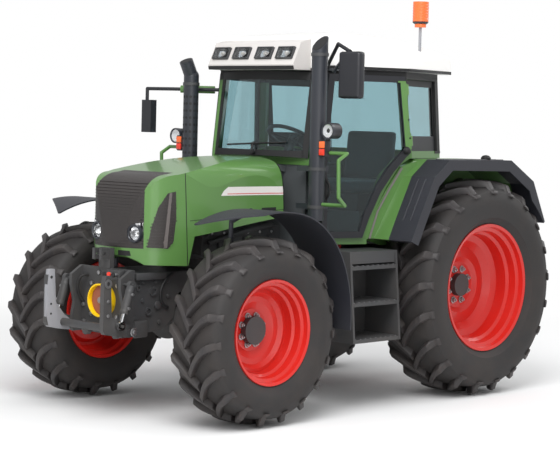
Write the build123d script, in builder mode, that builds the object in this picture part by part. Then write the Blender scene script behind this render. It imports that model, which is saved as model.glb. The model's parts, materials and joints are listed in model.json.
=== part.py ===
# Farm tractor with a cab, front and rear linkages and lugged tyres.
# Frame: +X forward, +Y to the driver's left, +Z up, origin on the ground
# under the middle of the machine. All sizes are in millimetres.
from build123d import *
import math
import os

os.makedirs("parts", exist_ok=True)

# Layout of the axles
wheelbase = 2417
rear_axle_x = -1112
front_axle_x = rear_axle_x + wheelbase

# Rear wheels
rear_tyre_radius = 855
rear_tyre_width = 560
rear_track_half = 865
rear_flange_radius = 510
rear_seat_radius = 480
rear_rim_half_width = 220
rear_disc_offset = -85
rear_hub_radius = 165
rear_nose_radius = 90

# Front wheels
front_tyre_radius = 660
front_tyre_width = 480
front_track_half = 891
front_flange_radius = 378
front_seat_radius = 352
front_rim_half_width = 184
front_disc_offset = -40
front_hub_radius = 130
front_nose_radius = 100

# Tyre and rim walls
tyre_wall = 38
tyre_shoulder_drop = 28
tread_shoulder = 45
tread_crown_slope = 120
rim_wall = 12
hub_gap = 8
spindle_radius = 60
running_clearance = 0.05
spindle_end_gap = 6
seat_gap = 0.3
nose_length = 60
nose_cap = 20

# Steering pivots of the front axle
kingpin_half = 680
kingpin_radius = 25
kingpin_boss_radius = 75
kingpin_boss_height = 200
fork_gap = 8
fork_plate = 36
carrier_radius = 140
carrier_inner = 765
carrier_outer = 828
front_beam_half_height = 95
front_beam_half_depth = 80
front_beam_end_half_depth = 60
front_beam_end = 560

# Front frame, engine and driveline
frame_half_width = 250
frame_plate = 42
frame_top_z = 1030
frame_rear_x = rear_axle_x + 2050
frame_front_x = rear_axle_x + 3000
frame_arch_rear_x = rear_axle_x + 2265
frame_arch_front_x = rear_axle_x + 2570
trunnion_radius = 48
trunnion_z = 790
sump_half_width = 180
engine_half_width = 215
sump_bottom_z = 620
engine_step_z = 900
engine_top_z = 1330
engine_rear_x = rear_axle_x + 1480
engine_nose_x = rear_axle_x + 2300
gearbox_half_width = 200
gearbox_bottom_z = 560
gearbox_top_z = 1090
gearbox_rear_x = rear_axle_x + 250
axle_case_rear_x = rear_axle_x - 330
axle_case_half_width = 250
axle_case_bottom_z = 610
axle_case_top_z = 1140
trumpet_radius = 130
trumpet_end = 650

# Tanks and steps
tank_rear_x = rear_axle_x + 900
tank_front_x = rear_axle_x + 1460
tank_outer = 620
tank_bottom_z = 560
tank_top_z = 1120
step_rear_x = rear_axle_x + 930
step_front_x = rear_axle_x + 1470
step_outer = 985
step_plate = 22
step_bottom_z = 500
step_top_z = 1175

# Cab
bulkhead_top_z = 1800
floor_rear_half = 535
seat_plinth_z = 1420
screen_half = 500
screen_bow = 92
screen_foot_d = 1583
screen_foot_z = 1862
screen_head_d = 1504
screen_head_z = 2506
screen_rail = 46
floor_z = 1240
floor_thickness = 40
post = 56
panel_gap = 8
door_thickness = 30
glass_thickness = 8
waist_z = 1890
rail_z = 2500
cab_front_x = rear_axle_x + 1475
cab_rear_x = rear_axle_x + 60
side_origin_d = 700
side_origin_y = 800
side_slope = -0.3288
side_lean = -0.042
quarter_slope = 0.2885
a_post_foot_d = 1455
a_post_top_d = 1375
b_post_foot_d = 665
b_post_top_d = 715
c_post_foot_d = 85
c_post_top_d = 135
hinge_pin_radius = 8

# Roof
roof_bottom_z = 2529.4
roof_top_z = 2835
roof_front_x = rear_axle_x + 1560
roof_rear_x = rear_axle_x + 0
roof_mid_half = 800
lamp_bar_front_x = rear_axle_x + 1620
lamp_bar_half = 455

# Rear fenders
fender_wall = 30
fender_inner = 535
fender_split = 875
fender_outer = 1100
fender_lip_wall = 12
fender_lip_drop = 90
fender_clearance = 18
fender_front_foot = (975, 1250)
fender_front_knee = (905, 1390)
fender_front_shoulder = (720, 1730)
fender_top_front = (540, 1860)
fender_top_rear = (-250, 1860)
fender_rear_shoulder = (-560, 1690)
fender_rear_tip = (-735, 1360)

# Front fenders
front_fender_wall = 10
front_fender_inner = 725
front_fender_outer = 1140
front_fender_tip = 443
front_fender_outer_tip = 175
front_stay_y = 615

# Steering wheel and column
steering_wheel_d = 1130
steering_wheel_z = 1985
steering_wheel_radius = 205
column_lean = 30

# Stacks, rails and mirrors
stack_x = rear_axle_x + 1590
stack_half = 685
stack_radius = 60
exhaust_foot_z = 1340
exhaust_bend_z = 2460
exhaust_tip_z = 2580
intake_foot_z = 1400
intake_top_z = 2760
grab_rail_y = 950

# Bonnet
bonnet_wall = 10
bonnet_rear_x = rear_axle_x + 1655
bonnet_rear_top_z = 1852
bonnet_rear_half = 422
bonnet_hinge_x = rear_axle_x + 1662
bonnet_hinge_z = 1800
nose_x = rear_axle_x + 2972
grille_rear_x = rear_axle_x + 2640
grille_half_width = 262
grille_bottom_z = 1205
lamp_half = 196
lamp_z = 1310
lamp_radius = 62

# Front linkage
link_pivot_x = rear_axle_x + 3078
link_pivot_z = 640
link_pin_radius = 20
link_inner = 287
link_thickness = 40
link_tip_x = rear_axle_x + 3300
link_tip_z = 690
link_upright_top_z = 1035
linkage_plate = 30
cheek_inner = 250
cheek_outer = 280
cheek_front_x = rear_axle_x + 3125
cylinder_pin_x = rear_axle_x + 3090
cylinder_pin_z = 965
rod_eye_x = rear_axle_x + 3182
rod_eye_z = 686
cylinder_y = 350
barrel_radius = 30
barrel_length = 190
rod_eye_slack = 9
front_link_bore = 14.35
link_bore_back = 20
rod_radius = 14
cylinder_pin_radius = 11
pto_z = 829
pto_guard_radius = 118

# Rear linkage
lower_pivot_x = rear_axle_x - 250
lower_pivot_z = 560
lower_pivot_y = 300
lower_tip_x = rear_axle_x - 1085
lower_tip_z = 600
lower_tip_y = 410
lower_bore_radius = 14.35
lift_shaft_x = rear_axle_x - 260
lift_shaft_z = 1230
lift_shaft_radius = 25
lift_arm_y = 330
lift_rod_foot_x = rear_axle_x - 640
link_half_thickness = 12
lower_pin_radius = 17
top_link_bore = 12.85
drawbar_tip_x = rear_axle_x - 760
drawbar_z = 430
drawbar_bore = 16
rear_pto_z = 700
rear_pto_radius = 17.45


def ahead(distance):
    """X of a place given as its distance ahead of the rear axle."""
    return rear_axle_x + distance


def side_y(distance, height):
    """Y of the inner face of the left door at a place on its side view."""
    along = side_slope * (distance - side_origin_d)
    return side_origin_y + along + side_lean * (height - waist_z)


def quarter_y(distance, height):
    """Y of the outer face of the left quarter panel behind the door."""
    along = quarter_slope * (distance - side_origin_d)
    return side_origin_y + along + side_lean * (height - waist_z)


def write(piece, name):
    """Label a finished piece and write its STEP file."""
    piece.part.label = name
    export_step(piece.part, f"parts/{name}.step")


def bar(start, end, width, depth, facing=(0, 1, 0)):
    """A straight bar between two points, its depth measured along the facing direction."""
    way = Vector(*end) - Vector(*start)
    plane = Plane(origin=start, x_dir=Vector(*facing).cross(way), z_dir=way)
    with BuildSketch(plane) as section:
        Rectangle(width, depth)
    extrude(section.sketch, amount=way.length)


def rod(start, end, radius, mode=Mode.ADD):
    """A round bar between two points."""
    way = Vector(*end) - Vector(*start)
    with BuildSketch(Plane(origin=start, z_dir=way)) as section:
        Circle(radius)
    extrude(section.sketch, amount=way.length, mode=mode)


def block(x_range, y_range, z_range, mode=Mode.ADD):
    """A box given by its limits along the three axes."""
    middle = ((x_range[0] + x_range[1]) / 2, (y_range[0] + y_range[1]) / 2, (z_range[0] + z_range[1]) / 2)
    with Locations(middle):
        Box(x_range[1] - x_range[0], y_range[1] - y_range[0], z_range[1] - z_range[0], mode=mode)


def side_profile(points, y_range, mode=Mode.ADD):
    """A prism across the machine over an outline of (x, z) points."""
    with BuildSketch(Plane.XZ.offset(-y_range[1])) as section:
        with BuildLine():
            Polyline(*points, close=True)
        make_face()
    extrude(section.sketch, amount=y_range[1] - y_range[0], mode=mode)


# Tyres: a hollow ring with rounded shoulders that sits on the rim seats
def tyre(name, side, centre_x, half_track, radius, width, seat_radius, rim_half_width, barrel):
    centre = (centre_x, side * half_track, radius)
    bead = rim_half_width - rim_wall / 2
    seat = seat_radius
    bulge_radius = (radius + seat) / 2 + 10
    shoulder = radius - tyre_shoulder_drop
    half = width / 2
    tread_half = half - tread_shoulder
    crown_half = tread_half - tread_crown_slope
    with BuildPart() as body:
        plane = Plane(origin=centre, x_dir=(0, 0, 1), z_dir=(-side, 0, 0))
        with BuildSketch(plane):
            with BuildLine():
                Line((seat, -bead), (seat + 30, -bead))
                Spline((seat + 30, -bead), (bulge_radius, -half), (shoulder - 20, -tread_half - 18))
                Line((shoulder - 20, -tread_half - 18), (shoulder, -tread_half))
                Line((shoulder, -tread_half), (radius, -crown_half))
                Line((radius, -crown_half), (radius, crown_half))
                Line((radius, crown_half), (shoulder, tread_half))
                Line((shoulder, tread_half), (shoulder - 20, tread_half + 18))
                Spline((shoulder - 20, tread_half + 18), (bulge_radius, half), (seat + 30, bead))
                Line((seat + 30, bead), (seat, bead))
                Line((seat, bead), (seat, bead - 45))
                Line((seat, bead - 45), (seat + 40, bead - tyre_wall))
                Line((seat + 40, bead - tyre_wall), (bulge_radius, half - tyre_wall))
                Line((bulge_radius, half - tyre_wall), (shoulder - 40, tread_half - 10))
                Line((shoulder - 40, tread_half - 10), (shoulder - 40, 10 - tread_half))
                Line((shoulder - 40, 10 - tread_half), (bulge_radius, tyre_wall - half))
                Line((bulge_radius, tyre_wall - half), (seat + 40, tyre_wall - bead))
                Line((seat + 40, tyre_wall - bead), (seat, 45 - bead))
                Line((seat, 45 - bead), (seat, -bead))
            make_face()
            with BuildLine():
                Polyline(*barrel)
            trace(line_width=rim_wall, mode=Mode.SUBTRACT)
        revolve(axis=Axis(centre, (0, 1, 0)))
    write(body, name)


# Rims: a stepped well with a dished disc, traced as one wall
def rim(name, side, centre_x, half_track, radius, barrel, disc, nose_radius):
    centre = (centre_x, side * half_track, radius)
    plane = Plane(origin=centre, x_dir=(0, 0, 1), z_dir=(-side, 0, 0))
    with BuildPart() as body:
        with BuildSketch(plane):
            with BuildLine():
                Polyline(*barrel)
            trace(line_width=rim_wall)
            with BuildLine():
                Polyline(*disc)
            trace(line_width=rim_wall)
            with Locations((nose_radius / 2, 0)):
                Rectangle(nose_radius, 1200, mode=Mode.SUBTRACT)
        revolve(axis=Axis(centre, (0, 1, 0)))
    write(body, name)


# Hubs: the flange that a wheel bolts to, turning on a fixed spindle
def hub(name, side, centre_x, inner_y, disc_y, radius, centre_z, nose_radius):
    face = disc_y - rim_wall / 2
    plane = Plane(origin=(centre_x, side * inner_y, centre_z), x_dir=(1, 0, 0), z_dir=(0, side, 0))
    with BuildPart() as body:
        with BuildSketch(plane):
            Circle(radius)
        extrude(amount=face - inner_y)
        with BuildSketch(plane):
            Circle(nose_radius)
        extrude(amount=face - inner_y + nose_length)
        with BuildSketch(plane):
            Circle(spindle_radius + running_clearance)
        extrude(amount=face - inner_y + nose_length - nose_cap, mode=Mode.SUBTRACT)
    write(body, name)


rear_barrel = [
    (rear_flange_radius - 6, rear_rim_half_width),
    (rear_seat_radius + 4, rear_rim_half_width - 6),
    (rear_seat_radius, rear_rim_half_width - 44),
    (rear_seat_radius - 28, rear_rim_half_width - 56),
    (rear_seat_radius - 34, 104),
    (rear_seat_radius - 58, 88),
    (rear_seat_radius - 66, 20),
    (rear_seat_radius - 74, -50),
    (rear_seat_radius - 34, -100),
    (rear_seat_radius - 28, 56 - rear_rim_half_width),
    (rear_seat_radius, 44 - rear_rim_half_width),
    (rear_seat_radius + 4, 6 - rear_rim_half_width),
    (rear_flange_radius - 6, -rear_rim_half_width),
]
rear_disc = [
    (rear_seat_radius - 68, 0),
    (rear_seat_radius - 120, -22),
    (rear_seat_radius - 170, -70),
    (rear_hub_radius + 60, rear_disc_offset + 26),
    (rear_hub_radius + 20, rear_disc_offset),
    (rear_nose_radius - 6, rear_disc_offset),
]
front_barrel = [
    (front_flange_radius - 6, front_rim_half_width),
    (front_seat_radius + 4, front_rim_half_width - 6),
    (front_seat_radius, front_rim_half_width - 40),
    (front_seat_radius - 22, front_rim_half_width - 50),
    (front_seat_radius - 28, 84),
    (front_seat_radius - 46, 70),
    (front_seat_radius - 54, 0),
    (front_seat_radius - 28, -60),
    (front_seat_radius - 22, 50 - front_rim_half_width),
    (front_seat_radius, 40 - front_rim_half_width),
    (front_seat_radius + 4, 6 - front_rim_half_width),
    (front_flange_radius - 6, -front_rim_half_width),
]
front_disc = [
    (front_seat_radius - 52, 10),
    (front_seat_radius - 82, 14),
    (front_seat_radius - 110, -12),
    (front_seat_radius - 150, -14),
    (front_hub_radius + 20, front_disc_offset),
    (front_nose_radius - 6, front_disc_offset),
]
for side_name, side in (("left", 1), ("right", -1)):
    tyre(f"{side_name}_rear_tyre", side, rear_axle_x, rear_track_half, rear_tyre_radius, rear_tyre_width,
         rear_seat_radius, rear_rim_half_width, rear_barrel)
    tyre(f"{side_name}_front_tyre", side, front_axle_x, front_track_half, front_tyre_radius,
         front_tyre_width,
         front_seat_radius, front_rim_half_width, front_barrel)
    rim(f"{side_name}_rear_rim", side, rear_axle_x, rear_track_half, rear_tyre_radius,
        rear_barrel, rear_disc, rear_nose_radius)
    rim(f"{side_name}_front_rim", side, front_axle_x, front_track_half, front_tyre_radius,
        front_barrel, front_disc, front_nose_radius)
    hub(f"{side_name}_rear_hub", side, rear_axle_x, trumpet_end + hub_gap,
        rear_track_half + rear_disc_offset,
        rear_hub_radius, rear_tyre_radius, rear_nose_radius)
    hub(f"{side_name}_front_hub", side, front_axle_x, carrier_outer + hub_gap,
        front_track_half + front_disc_offset,
        front_hub_radius, front_tyre_radius, front_nose_radius)

# Front axle: beam with a centre boss on a trunnion and a pierced boss at each end
with BuildPart() as front_axle:
    axle_z = front_tyre_radius
    block((front_axle_x - front_beam_half_depth, front_axle_x + front_beam_half_depth),
          (-front_beam_end, front_beam_end),
          (axle_z - front_beam_half_height, axle_z + front_beam_half_height))
    block((front_axle_x - front_beam_end_half_depth, front_axle_x + front_beam_end_half_depth),
          (-kingpin_half, kingpin_half),
          (axle_z - front_beam_half_height + 10, axle_z + front_beam_half_height - 10))
    with Locations((front_axle_x, 0, axle_z)):
        Sphere(150)
    block((front_axle_x - 115, front_axle_x + 115), (-80, 80), (axle_z, trunnion_z + 60))
    rod((frame_arch_rear_x, 0, trunnion_z), (frame_arch_front_x, 0, trunnion_z), trunnion_radius)
    for side in (1, -1):
        with Locations((front_axle_x, side * kingpin_half, axle_z)):
            Cylinder(kingpin_boss_radius, kingpin_boss_height)
            Cylinder(kingpin_radius + running_clearance, kingpin_boss_height * 2, mode=Mode.SUBTRACT)
write(front_axle, "front_axle")

# Steering knuckles: forked carriers with a kingpin and the spindle of the wheel
for side_name, side in (("left", 1), ("right", -1)):
    axle_z = front_tyre_radius
    boss_top = axle_z + kingpin_boss_height / 2
    boss_bottom = axle_z - kingpin_boss_height / 2
    pin_y = side * kingpin_half
    with BuildPart() as knuckle:
        for bottom in (boss_top + fork_gap, boss_bottom - fork_gap - fork_plate):
            with BuildSketch(Plane.XY.offset(bottom)):
                with Locations((front_axle_x, pin_y)):
                    Circle(kingpin_boss_radius)
                with Locations((front_axle_x, side * (kingpin_half + carrier_inner + 30) / 2)):
                    Rectangle(2 * kingpin_boss_radius, carrier_inner + 30 - kingpin_half)
            extrude(amount=fork_plate)
        rod((front_axle_x, pin_y, boss_bottom - fork_gap - 4),
            (front_axle_x, pin_y, boss_top + fork_gap + 4),
            kingpin_radius)
        rod((front_axle_x, side * carrier_inner, axle_z), (front_axle_x, side * carrier_outer, axle_z),
            carrier_radius + 8)
        nose_reach = nose_length - nose_cap - spindle_end_gap
        spindle_end = front_track_half + front_disc_offset - rim_wall / 2 + nose_reach
        rod((front_axle_x, side * carrier_outer, axle_z), (front_axle_x, side * spindle_end, axle_z),
            spindle_radius)
    write(knuckle, f"{side_name}_knuckle")

# Front frame: two waisted side plates with cross walls, open above the axle
with BuildPart() as front_frame:
    outline = [
        (frame_rear_x, frame_top_z), (frame_rear_x, 740), (frame_arch_rear_x - 30, 740),
        (frame_arch_rear_x + 20, 880), (frame_arch_front_x - 20, 880), (frame_arch_front_x + 30, 700),
        (ahead(2700), 620), (ahead(2940), 600), (frame_front_x, 640), (frame_front_x, frame_top_z),
    ]
    for side in (1, -1):
        low = min(side * frame_half_width, side * (frame_half_width - frame_plate))
        side_profile(outline, (low, low + frame_plate))
    web = frame_half_width - frame_plate
    block((frame_rear_x, frame_front_x), (-web, web), (frame_top_z - 30, frame_top_z))
    block((frame_arch_rear_x - 40, frame_arch_rear_x), (-web, web), (720, frame_top_z))
    block((frame_arch_front_x, frame_arch_front_x + 40), (-web, web), (700, frame_top_z))
    block((frame_front_x - 30, frame_front_x), (-web, web), (640, frame_top_z))
write(front_frame, "front_frame")

# Engine: one plain block over a narrow sump
with BuildPart() as engine_block:
    block((engine_rear_x, frame_rear_x), (-sump_half_width, sump_half_width),
          (sump_bottom_z, engine_step_z))
    block((engine_rear_x, frame_rear_x), (-engine_half_width, engine_half_width),
          (engine_step_z, engine_top_z))
    block((frame_rear_x, engine_nose_x), (-engine_half_width, engine_half_width),
          (frame_top_z, engine_top_z))
write(engine_block, "engine_block")

# Gearbox and rear axle case
with BuildPart() as transmission_housing:
    block((gearbox_rear_x, engine_rear_x), (-gearbox_half_width, gearbox_half_width),
          (gearbox_bottom_z, gearbox_top_z))
    block((axle_case_rear_x, gearbox_rear_x), (-axle_case_half_width, axle_case_half_width),
          (axle_case_bottom_z, axle_case_top_z))
write(transmission_housing, "transmission_housing")

# Rear axle: trumpet housings and spindles
with BuildPart() as rear_axle:
    for side in (1, -1):
        rod((rear_axle_x, side * axle_case_half_width, rear_tyre_radius),
            (rear_axle_x, side * trumpet_end, rear_tyre_radius), trumpet_radius)
        rod((rear_axle_x, side * (trumpet_end - 40), rear_tyre_radius),
            (rear_axle_x, side * trumpet_end, rear_tyre_radius), trumpet_radius + 30)
        nose_reach = nose_length - nose_cap - spindle_end_gap
        shaft_end = rear_track_half + rear_disc_offset - rim_wall / 2 + nose_reach
        rod((rear_axle_x, side * trumpet_end, rear_tyre_radius),
            (rear_axle_x, side * shaft_end, rear_tyre_radius), spindle_radius)
write(rear_axle, "rear_axle")

# Tanks under the cab, one on each side of the gearbox
with BuildPart() as fuel_tanks:
    block((tank_rear_x, tank_front_x), (gearbox_half_width, tank_outer), (tank_bottom_z, tank_top_z))
    fillet(fuel_tanks.edges().filter_by(Axis.X), radius=60)
    mirror(about=Plane.XZ)
write(fuel_tanks, "fuel_tanks")

# Steps: a back panel, two leaning side plates and three treads
with BuildPart() as access_steps:
    block((step_rear_x, step_front_x), (tank_outer, tank_outer + 20), (step_bottom_z, step_top_z))
    for plate_x in (step_rear_x, step_front_x - step_plate):
        with BuildSketch(Plane.YZ.offset(plate_x)):
            with BuildLine():
                Polyline((tank_outer, step_bottom_z), (step_outer, step_bottom_z),
                         (step_outer - 60, step_top_z),
                         (tank_outer, step_top_z), close=True)
            make_face()
        extrude(amount=step_plate)
    for number, tread_z in enumerate((step_bottom_z, step_bottom_z + 270, step_bottom_z + 540)):
        block((step_rear_x, step_front_x), (tank_outer, step_outer - 4 - number * 22),
              (tread_z, tread_z + 28))
    block((step_rear_x, step_front_x), (tank_outer, step_outer - 62), (step_top_z - 90, step_top_z))
    mirror(about=Plane.XZ)
write(access_steps, "access_steps")

# Cab floor with the bulkhead in front and the wall behind the seat
with BuildPart() as cab_floor:
    with BuildSketch(Plane.XY.offset(floor_z - floor_thickness)):
        with BuildLine():
            Polyline((cab_rear_x, -floor_rear_half), (cab_rear_x, floor_rear_half),
                     (ahead(960), floor_rear_half),
                     (ahead(1090), 600), (cab_front_x, 470), (cab_front_x, -470), (ahead(1090), -600),
                     (ahead(960), -floor_rear_half), close=True)
        make_face()
    extrude(amount=floor_thickness)
    block((cab_front_x - 40, cab_front_x), (-470, 470), (floor_z, bulkhead_top_z))
    block((cab_rear_x, cab_rear_x + 40), (-floor_rear_half, floor_rear_half), (floor_z, waist_z - post / 2))
    block((ahead(100), ahead(620)), (-260, 260), (floor_z, seat_plinth_z))
    for rubber_x, rubber_half, rubber_foot in ((ahead(140), 190, axle_case_top_z),
                                               (ahead(1380), 130, gearbox_top_z)):
        for rubber_y in (-rubber_half, rubber_half):
            block((rubber_x - 50, rubber_x + 50), (rubber_y - 50, rubber_y + 50),
                  (rubber_foot + seat_gap, floor_z - floor_thickness))
    for low in (-256, 230):
        with BuildSketch(Plane.XZ.offset(-low - 26)):
            with BuildLine():
                Polyline((cab_front_x, bonnet_hinge_z - 60), (bonnet_hinge_x, bonnet_hinge_z - 16),
                         (bonnet_hinge_x, bonnet_hinge_z + 16), (cab_front_x, bonnet_hinge_z - 10),
                         close=True)
            make_face()
            with Locations((bonnet_hinge_x, bonnet_hinge_z)):
                Circle(20)
                Circle(12 + running_clearance, mode=Mode.SUBTRACT)
        extrude(amount=26)
write(cab_floor, "cab_floor")

# Cab frame: posts, rails, sills and wheel-arch posts of one welded frame
bar_in = panel_gap + post / 2


def frame_point(distance, height, inside=bar_in):
    """A point on the centre lines of the left door frame."""
    return (ahead(distance), side_y(distance, height) - inside, height)


def quarter_point(distance, height, inside=bar_in):
    """A point on the centre lines of the left quarter frame."""
    return (ahead(distance), quarter_y(distance, height) - inside, height)


arch_points = [(b_post_foot_d, waist_z), (760, 1830), (880, 1660), (985, 1470), (1050, floor_z + 10)]
door_facing = (-side_slope, 1, -side_lean)
quarter_facing = (-quarter_slope, 1, -side_lean)
screen_foot = (ahead(screen_foot_d), 0, screen_foot_z)
screen_head = (ahead(screen_head_d), 0, screen_head_z)
screen_way = Vector(*screen_head) - Vector(*screen_foot)


def screen_band(near, far, low, high):
    """A strip of the bowed windscreen surface, as a share of its height."""
    start = Vector(*screen_foot) + screen_way * low
    with BuildSketch(Plane(origin=start, x_dir=(0, 1, 0), z_dir=screen_way)) as section:
        with BuildLine():
            front = ThreePointArc((-screen_half, screen_bow + near), (0, near),
                                  (screen_half, screen_bow + near))
            Line(front @ 1, (screen_half, screen_bow + far))
            back = ThreePointArc((screen_half, screen_bow + far), (0, far),
                                 (-screen_half, screen_bow + far))
            Line(back @ 1, front @ 0)
        make_face()
    extrude(section.sketch, amount=screen_way.length * (high - low))


hinge_rise = (b_post_top_d - b_post_foot_d) / (rail_z - waist_z)
hinge_line_d = b_post_foot_d + 8


def hinge_point(height):
    """A point of the left door's hinge axis."""
    distance = hinge_line_d + hinge_rise * (height - waist_z)
    return (ahead(distance), side_y(distance, height) + door_thickness / 2, height)


hinge_spans = ((waist_z + 70, waist_z + 150), (rail_z - 150, rail_z - 70))
with BuildPart() as cab_frame:
    for low, high in hinge_spans:
        rod(hinge_point(low - 22), hinge_point(high + 22), hinge_pin_radius)
        for height in (low - 12, high + 12):
            pin = hinge_point(height)
            post_face = frame_point(b_post_foot_d + hinge_rise * (height - waist_z), height,
                                    panel_gap + 4)[1]
            block((pin[0] - 8, pin[0] + 8), (post_face, pin[1] + 8), (height - 8, height + 8))
    for start, end in (
        ((a_post_foot_d, floor_z - 20), (a_post_foot_d - 5, waist_z)),
        ((a_post_foot_d - 5, waist_z - 20), (a_post_top_d, rail_z)),
        ((b_post_foot_d, waist_z - post / 2), (b_post_top_d, rail_z)),
        ((a_post_top_d + post / 2, rail_z), (b_post_top_d - post / 2, rail_z)),
        ((a_post_foot_d + post / 2, floor_z - 5), (1030, floor_z - 5)),
    ):
        bar(frame_point(*start), frame_point(*end), post, post, door_facing)
    for start, end in zip(arch_points, arch_points[1:]):
        bar(frame_point(*start), frame_point(*end), post, post, door_facing)
    for start, end in (
        ((c_post_foot_d, waist_z - post / 2), (c_post_top_d, rail_z)),
        ((b_post_top_d + 10, rail_z), (c_post_top_d - post / 2, rail_z)),
        ((b_post_foot_d + 10, waist_z), (c_post_foot_d - post / 2, waist_z)),
    ):
        bar(quarter_point(*start), quarter_point(*end), post, post, quarter_facing)
    mirror(about=Plane.XZ)
    for foot in (quarter_point(c_post_foot_d, waist_z), quarter_point(c_post_top_d, rail_z),
                 frame_point(a_post_top_d, rail_z), frame_point(a_post_foot_d, bulkhead_top_z + post / 2)):
        bar((foot[0], -foot[1], foot[2]), foot, post, post, (1, 0, 0))
    screen_band(glass_thickness, glass_thickness + screen_rail, 0, 0.06)
    screen_band(glass_thickness, glass_thickness + screen_rail, 0.94, 1)
write(cab_frame, "cab_frame")

# Roof: a domed slab with a rounded plan and a recess for the lamp bar
with BuildPart() as roof:
    with BuildSketch(Plane.XY.offset(roof_bottom_z)):
        with BuildLine():
            Polyline((roof_front_x - 120, 545), (ahead(700), roof_mid_half), (roof_rear_x + 60, 700),
                     (roof_rear_x, 640), (roof_rear_x, -640), (roof_rear_x + 60, -700),
                     (ahead(700), -roof_mid_half), (roof_front_x - 120, -545), close=True)
        make_face()
    extrude(amount=roof_top_z - roof_bottom_z)
    with BuildSketch(Plane.XZ):
        with BuildLine():
            Line((roof_front_x, roof_bottom_z), (roof_rear_x, roof_bottom_z))
            Line((roof_rear_x, roof_bottom_z), (roof_rear_x, roof_bottom_z + 50))
            Spline((roof_rear_x, roof_bottom_z + 50), (ahead(380), roof_top_z - 40),
                   (ahead(800), roof_top_z),
                   (roof_front_x, roof_top_z - 70))
            Line((roof_front_x, roof_top_z - 70), (roof_front_x, roof_bottom_z))
        make_face()
    extrude(amount=1000, both=True, mode=Mode.INTERSECT)
    with BuildSketch(Plane.YZ.offset(roof_rear_x)):
        with BuildLine():
            Line((-850, roof_bottom_z), (850, roof_bottom_z))
            Line((850, roof_bottom_z), (850, roof_bottom_z + 40))
            ThreePointArc((850, roof_bottom_z + 40), (0, roof_top_z + 10), (-850, roof_bottom_z + 40))
            Line((-850, roof_bottom_z + 40), (-850, roof_bottom_z))
        make_face()
    extrude(amount=2000, mode=Mode.INTERSECT)
write(roof, "roof")

# Lamp bar across the front edge of the roof
with BuildPart() as roof_lamp_bar:
    with BuildSketch(Plane.XZ):
        with BuildLine():
            Polyline((roof_front_x - 120, roof_bottom_z - 17), (lamp_bar_front_x, roof_bottom_z - 17),
                     (lamp_bar_front_x + 10, roof_bottom_z + 20),
                     (lamp_bar_front_x - 70, roof_bottom_z + 190),
                     (roof_front_x - 120, roof_bottom_z + 215), close=True)
        make_face()
    extrude(amount=lamp_bar_half, both=True)
    for lamp_y in (-340, -120, 120, 340):
        with Locations(Plane(origin=(lamp_bar_front_x - 30, lamp_y, roof_bottom_z + 105), x_dir=(0, 1, 0),
                             z_dir=(170, 0, 80))):
            Box(170, 100, 60, mode=Mode.SUBTRACT)
write(roof_lamp_bar, "roof_lamp_bar")

# Windscreen: a bowed pane leaning back
with BuildPart() as windscreen:
    screen_band(0, glass_thickness, 0, 1)
write(windscreen, "windscreen")

# Fixed panes behind the doors and across the back of the cab
def slab(origin, slope, thickness, offset_out=0.0, mode=Mode.ADD):
    """A wide slab over a leaning side plane, growing outward from it."""
    normal = Vector(-slope, 1, -side_lean).normalized()
    start = Vector(*origin) + normal * offset_out
    with BuildSketch(Plane(origin=start, x_dir=(1, slope, 0), z_dir=normal)) as section:
        Rectangle(4000, 4000)
    extrude(section.sketch, amount=thickness, mode=mode)


def place(points):
    """Side view points as X and Z."""
    return [(ahead(distance), height) for distance, height in points]


quarter_origin = (ahead(side_origin_d), side_origin_y - bar_in, waist_z)
quarter_pane = [
    (b_post_foot_d - 38, waist_z + post / 2 + seat_gap), (b_post_top_d - 38, rail_z - post / 2 - seat_gap),
    (c_post_top_d + 34, rail_z - post / 2 - seat_gap), (c_post_foot_d + 34, waist_z + post / 2 + seat_gap),
]
with BuildPart() as cab_windows:
    slab(quarter_origin, quarter_slope, glass_thickness)
    side_profile(place(quarter_pane), (0, 1500), mode=Mode.INTERSECT)
    mirror(about=Plane.XZ)
    foot = quarter_point(c_post_foot_d, waist_z + post / 2 + 1)
    head = quarter_point(c_post_top_d, rail_z - post / 2 - 1)
    lean = Vector(head[0] - foot[0], 0, head[2] - foot[2])
    with BuildSketch(Plane(origin=(foot[0], 0, foot[2]), x_dir=(0, 1, 0), z_dir=lean)):
        Rectangle(2 * (head[1] - post / 2 - 4), glass_thickness)
    extrude(amount=lean.length)
write(cab_windows, "cab_windows")


# Doors: a leaning panel with its window cut, hinged on the middle post
door_outline = [
    (hinge_line_d + 16, waist_z + 20), (hinge_line_d + 16 + hinge_rise * 590, rail_z - 10),
    (a_post_top_d - 5, rail_z - 10), (a_post_foot_d - 20, waist_z), (a_post_foot_d - 15, floor_z + 18),
    (1105, floor_z + 18), (1050, 1400), (950, 1600), (835, 1760), (hinge_line_d + 60, waist_z - 20),
]
window_outline = [
    (hinge_line_d + 62, waist_z + 50), (hinge_line_d + 106, rail_z - 58),
    (a_post_top_d - 48, rail_z - 58), (a_post_foot_d - 64, waist_z), (a_post_foot_d - 60, floor_z + 66),
    (1130, floor_z + 66), (1092, 1420), (990, 1630), (880, 1790),
]
door_origin = (ahead(side_origin_d), side_origin_y, waist_z)


with BuildPart() as left_door:
    slab(door_origin, side_slope, door_thickness)
    side_profile(place(door_outline), (0, 1500), mode=Mode.INTERSECT)
    side_profile(place(window_outline), (0, 1500), mode=Mode.SUBTRACT)
    for low, high in hinge_spans:
        leaf_low = hinge_point(low)
        leaf_high = hinge_point(high)
        bar((leaf_low[0] + 14, leaf_low[1] - 4, low), (leaf_high[0] + 14, leaf_high[1] - 4, high), 16, 14)
        rod(leaf_low, leaf_high, hinge_pin_radius + 8)
        rod(hinge_point(low - 60), hinge_point(high + 60), hinge_pin_radius + running_clearance,
            mode=Mode.SUBTRACT)
write(left_door, "left_door")

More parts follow.
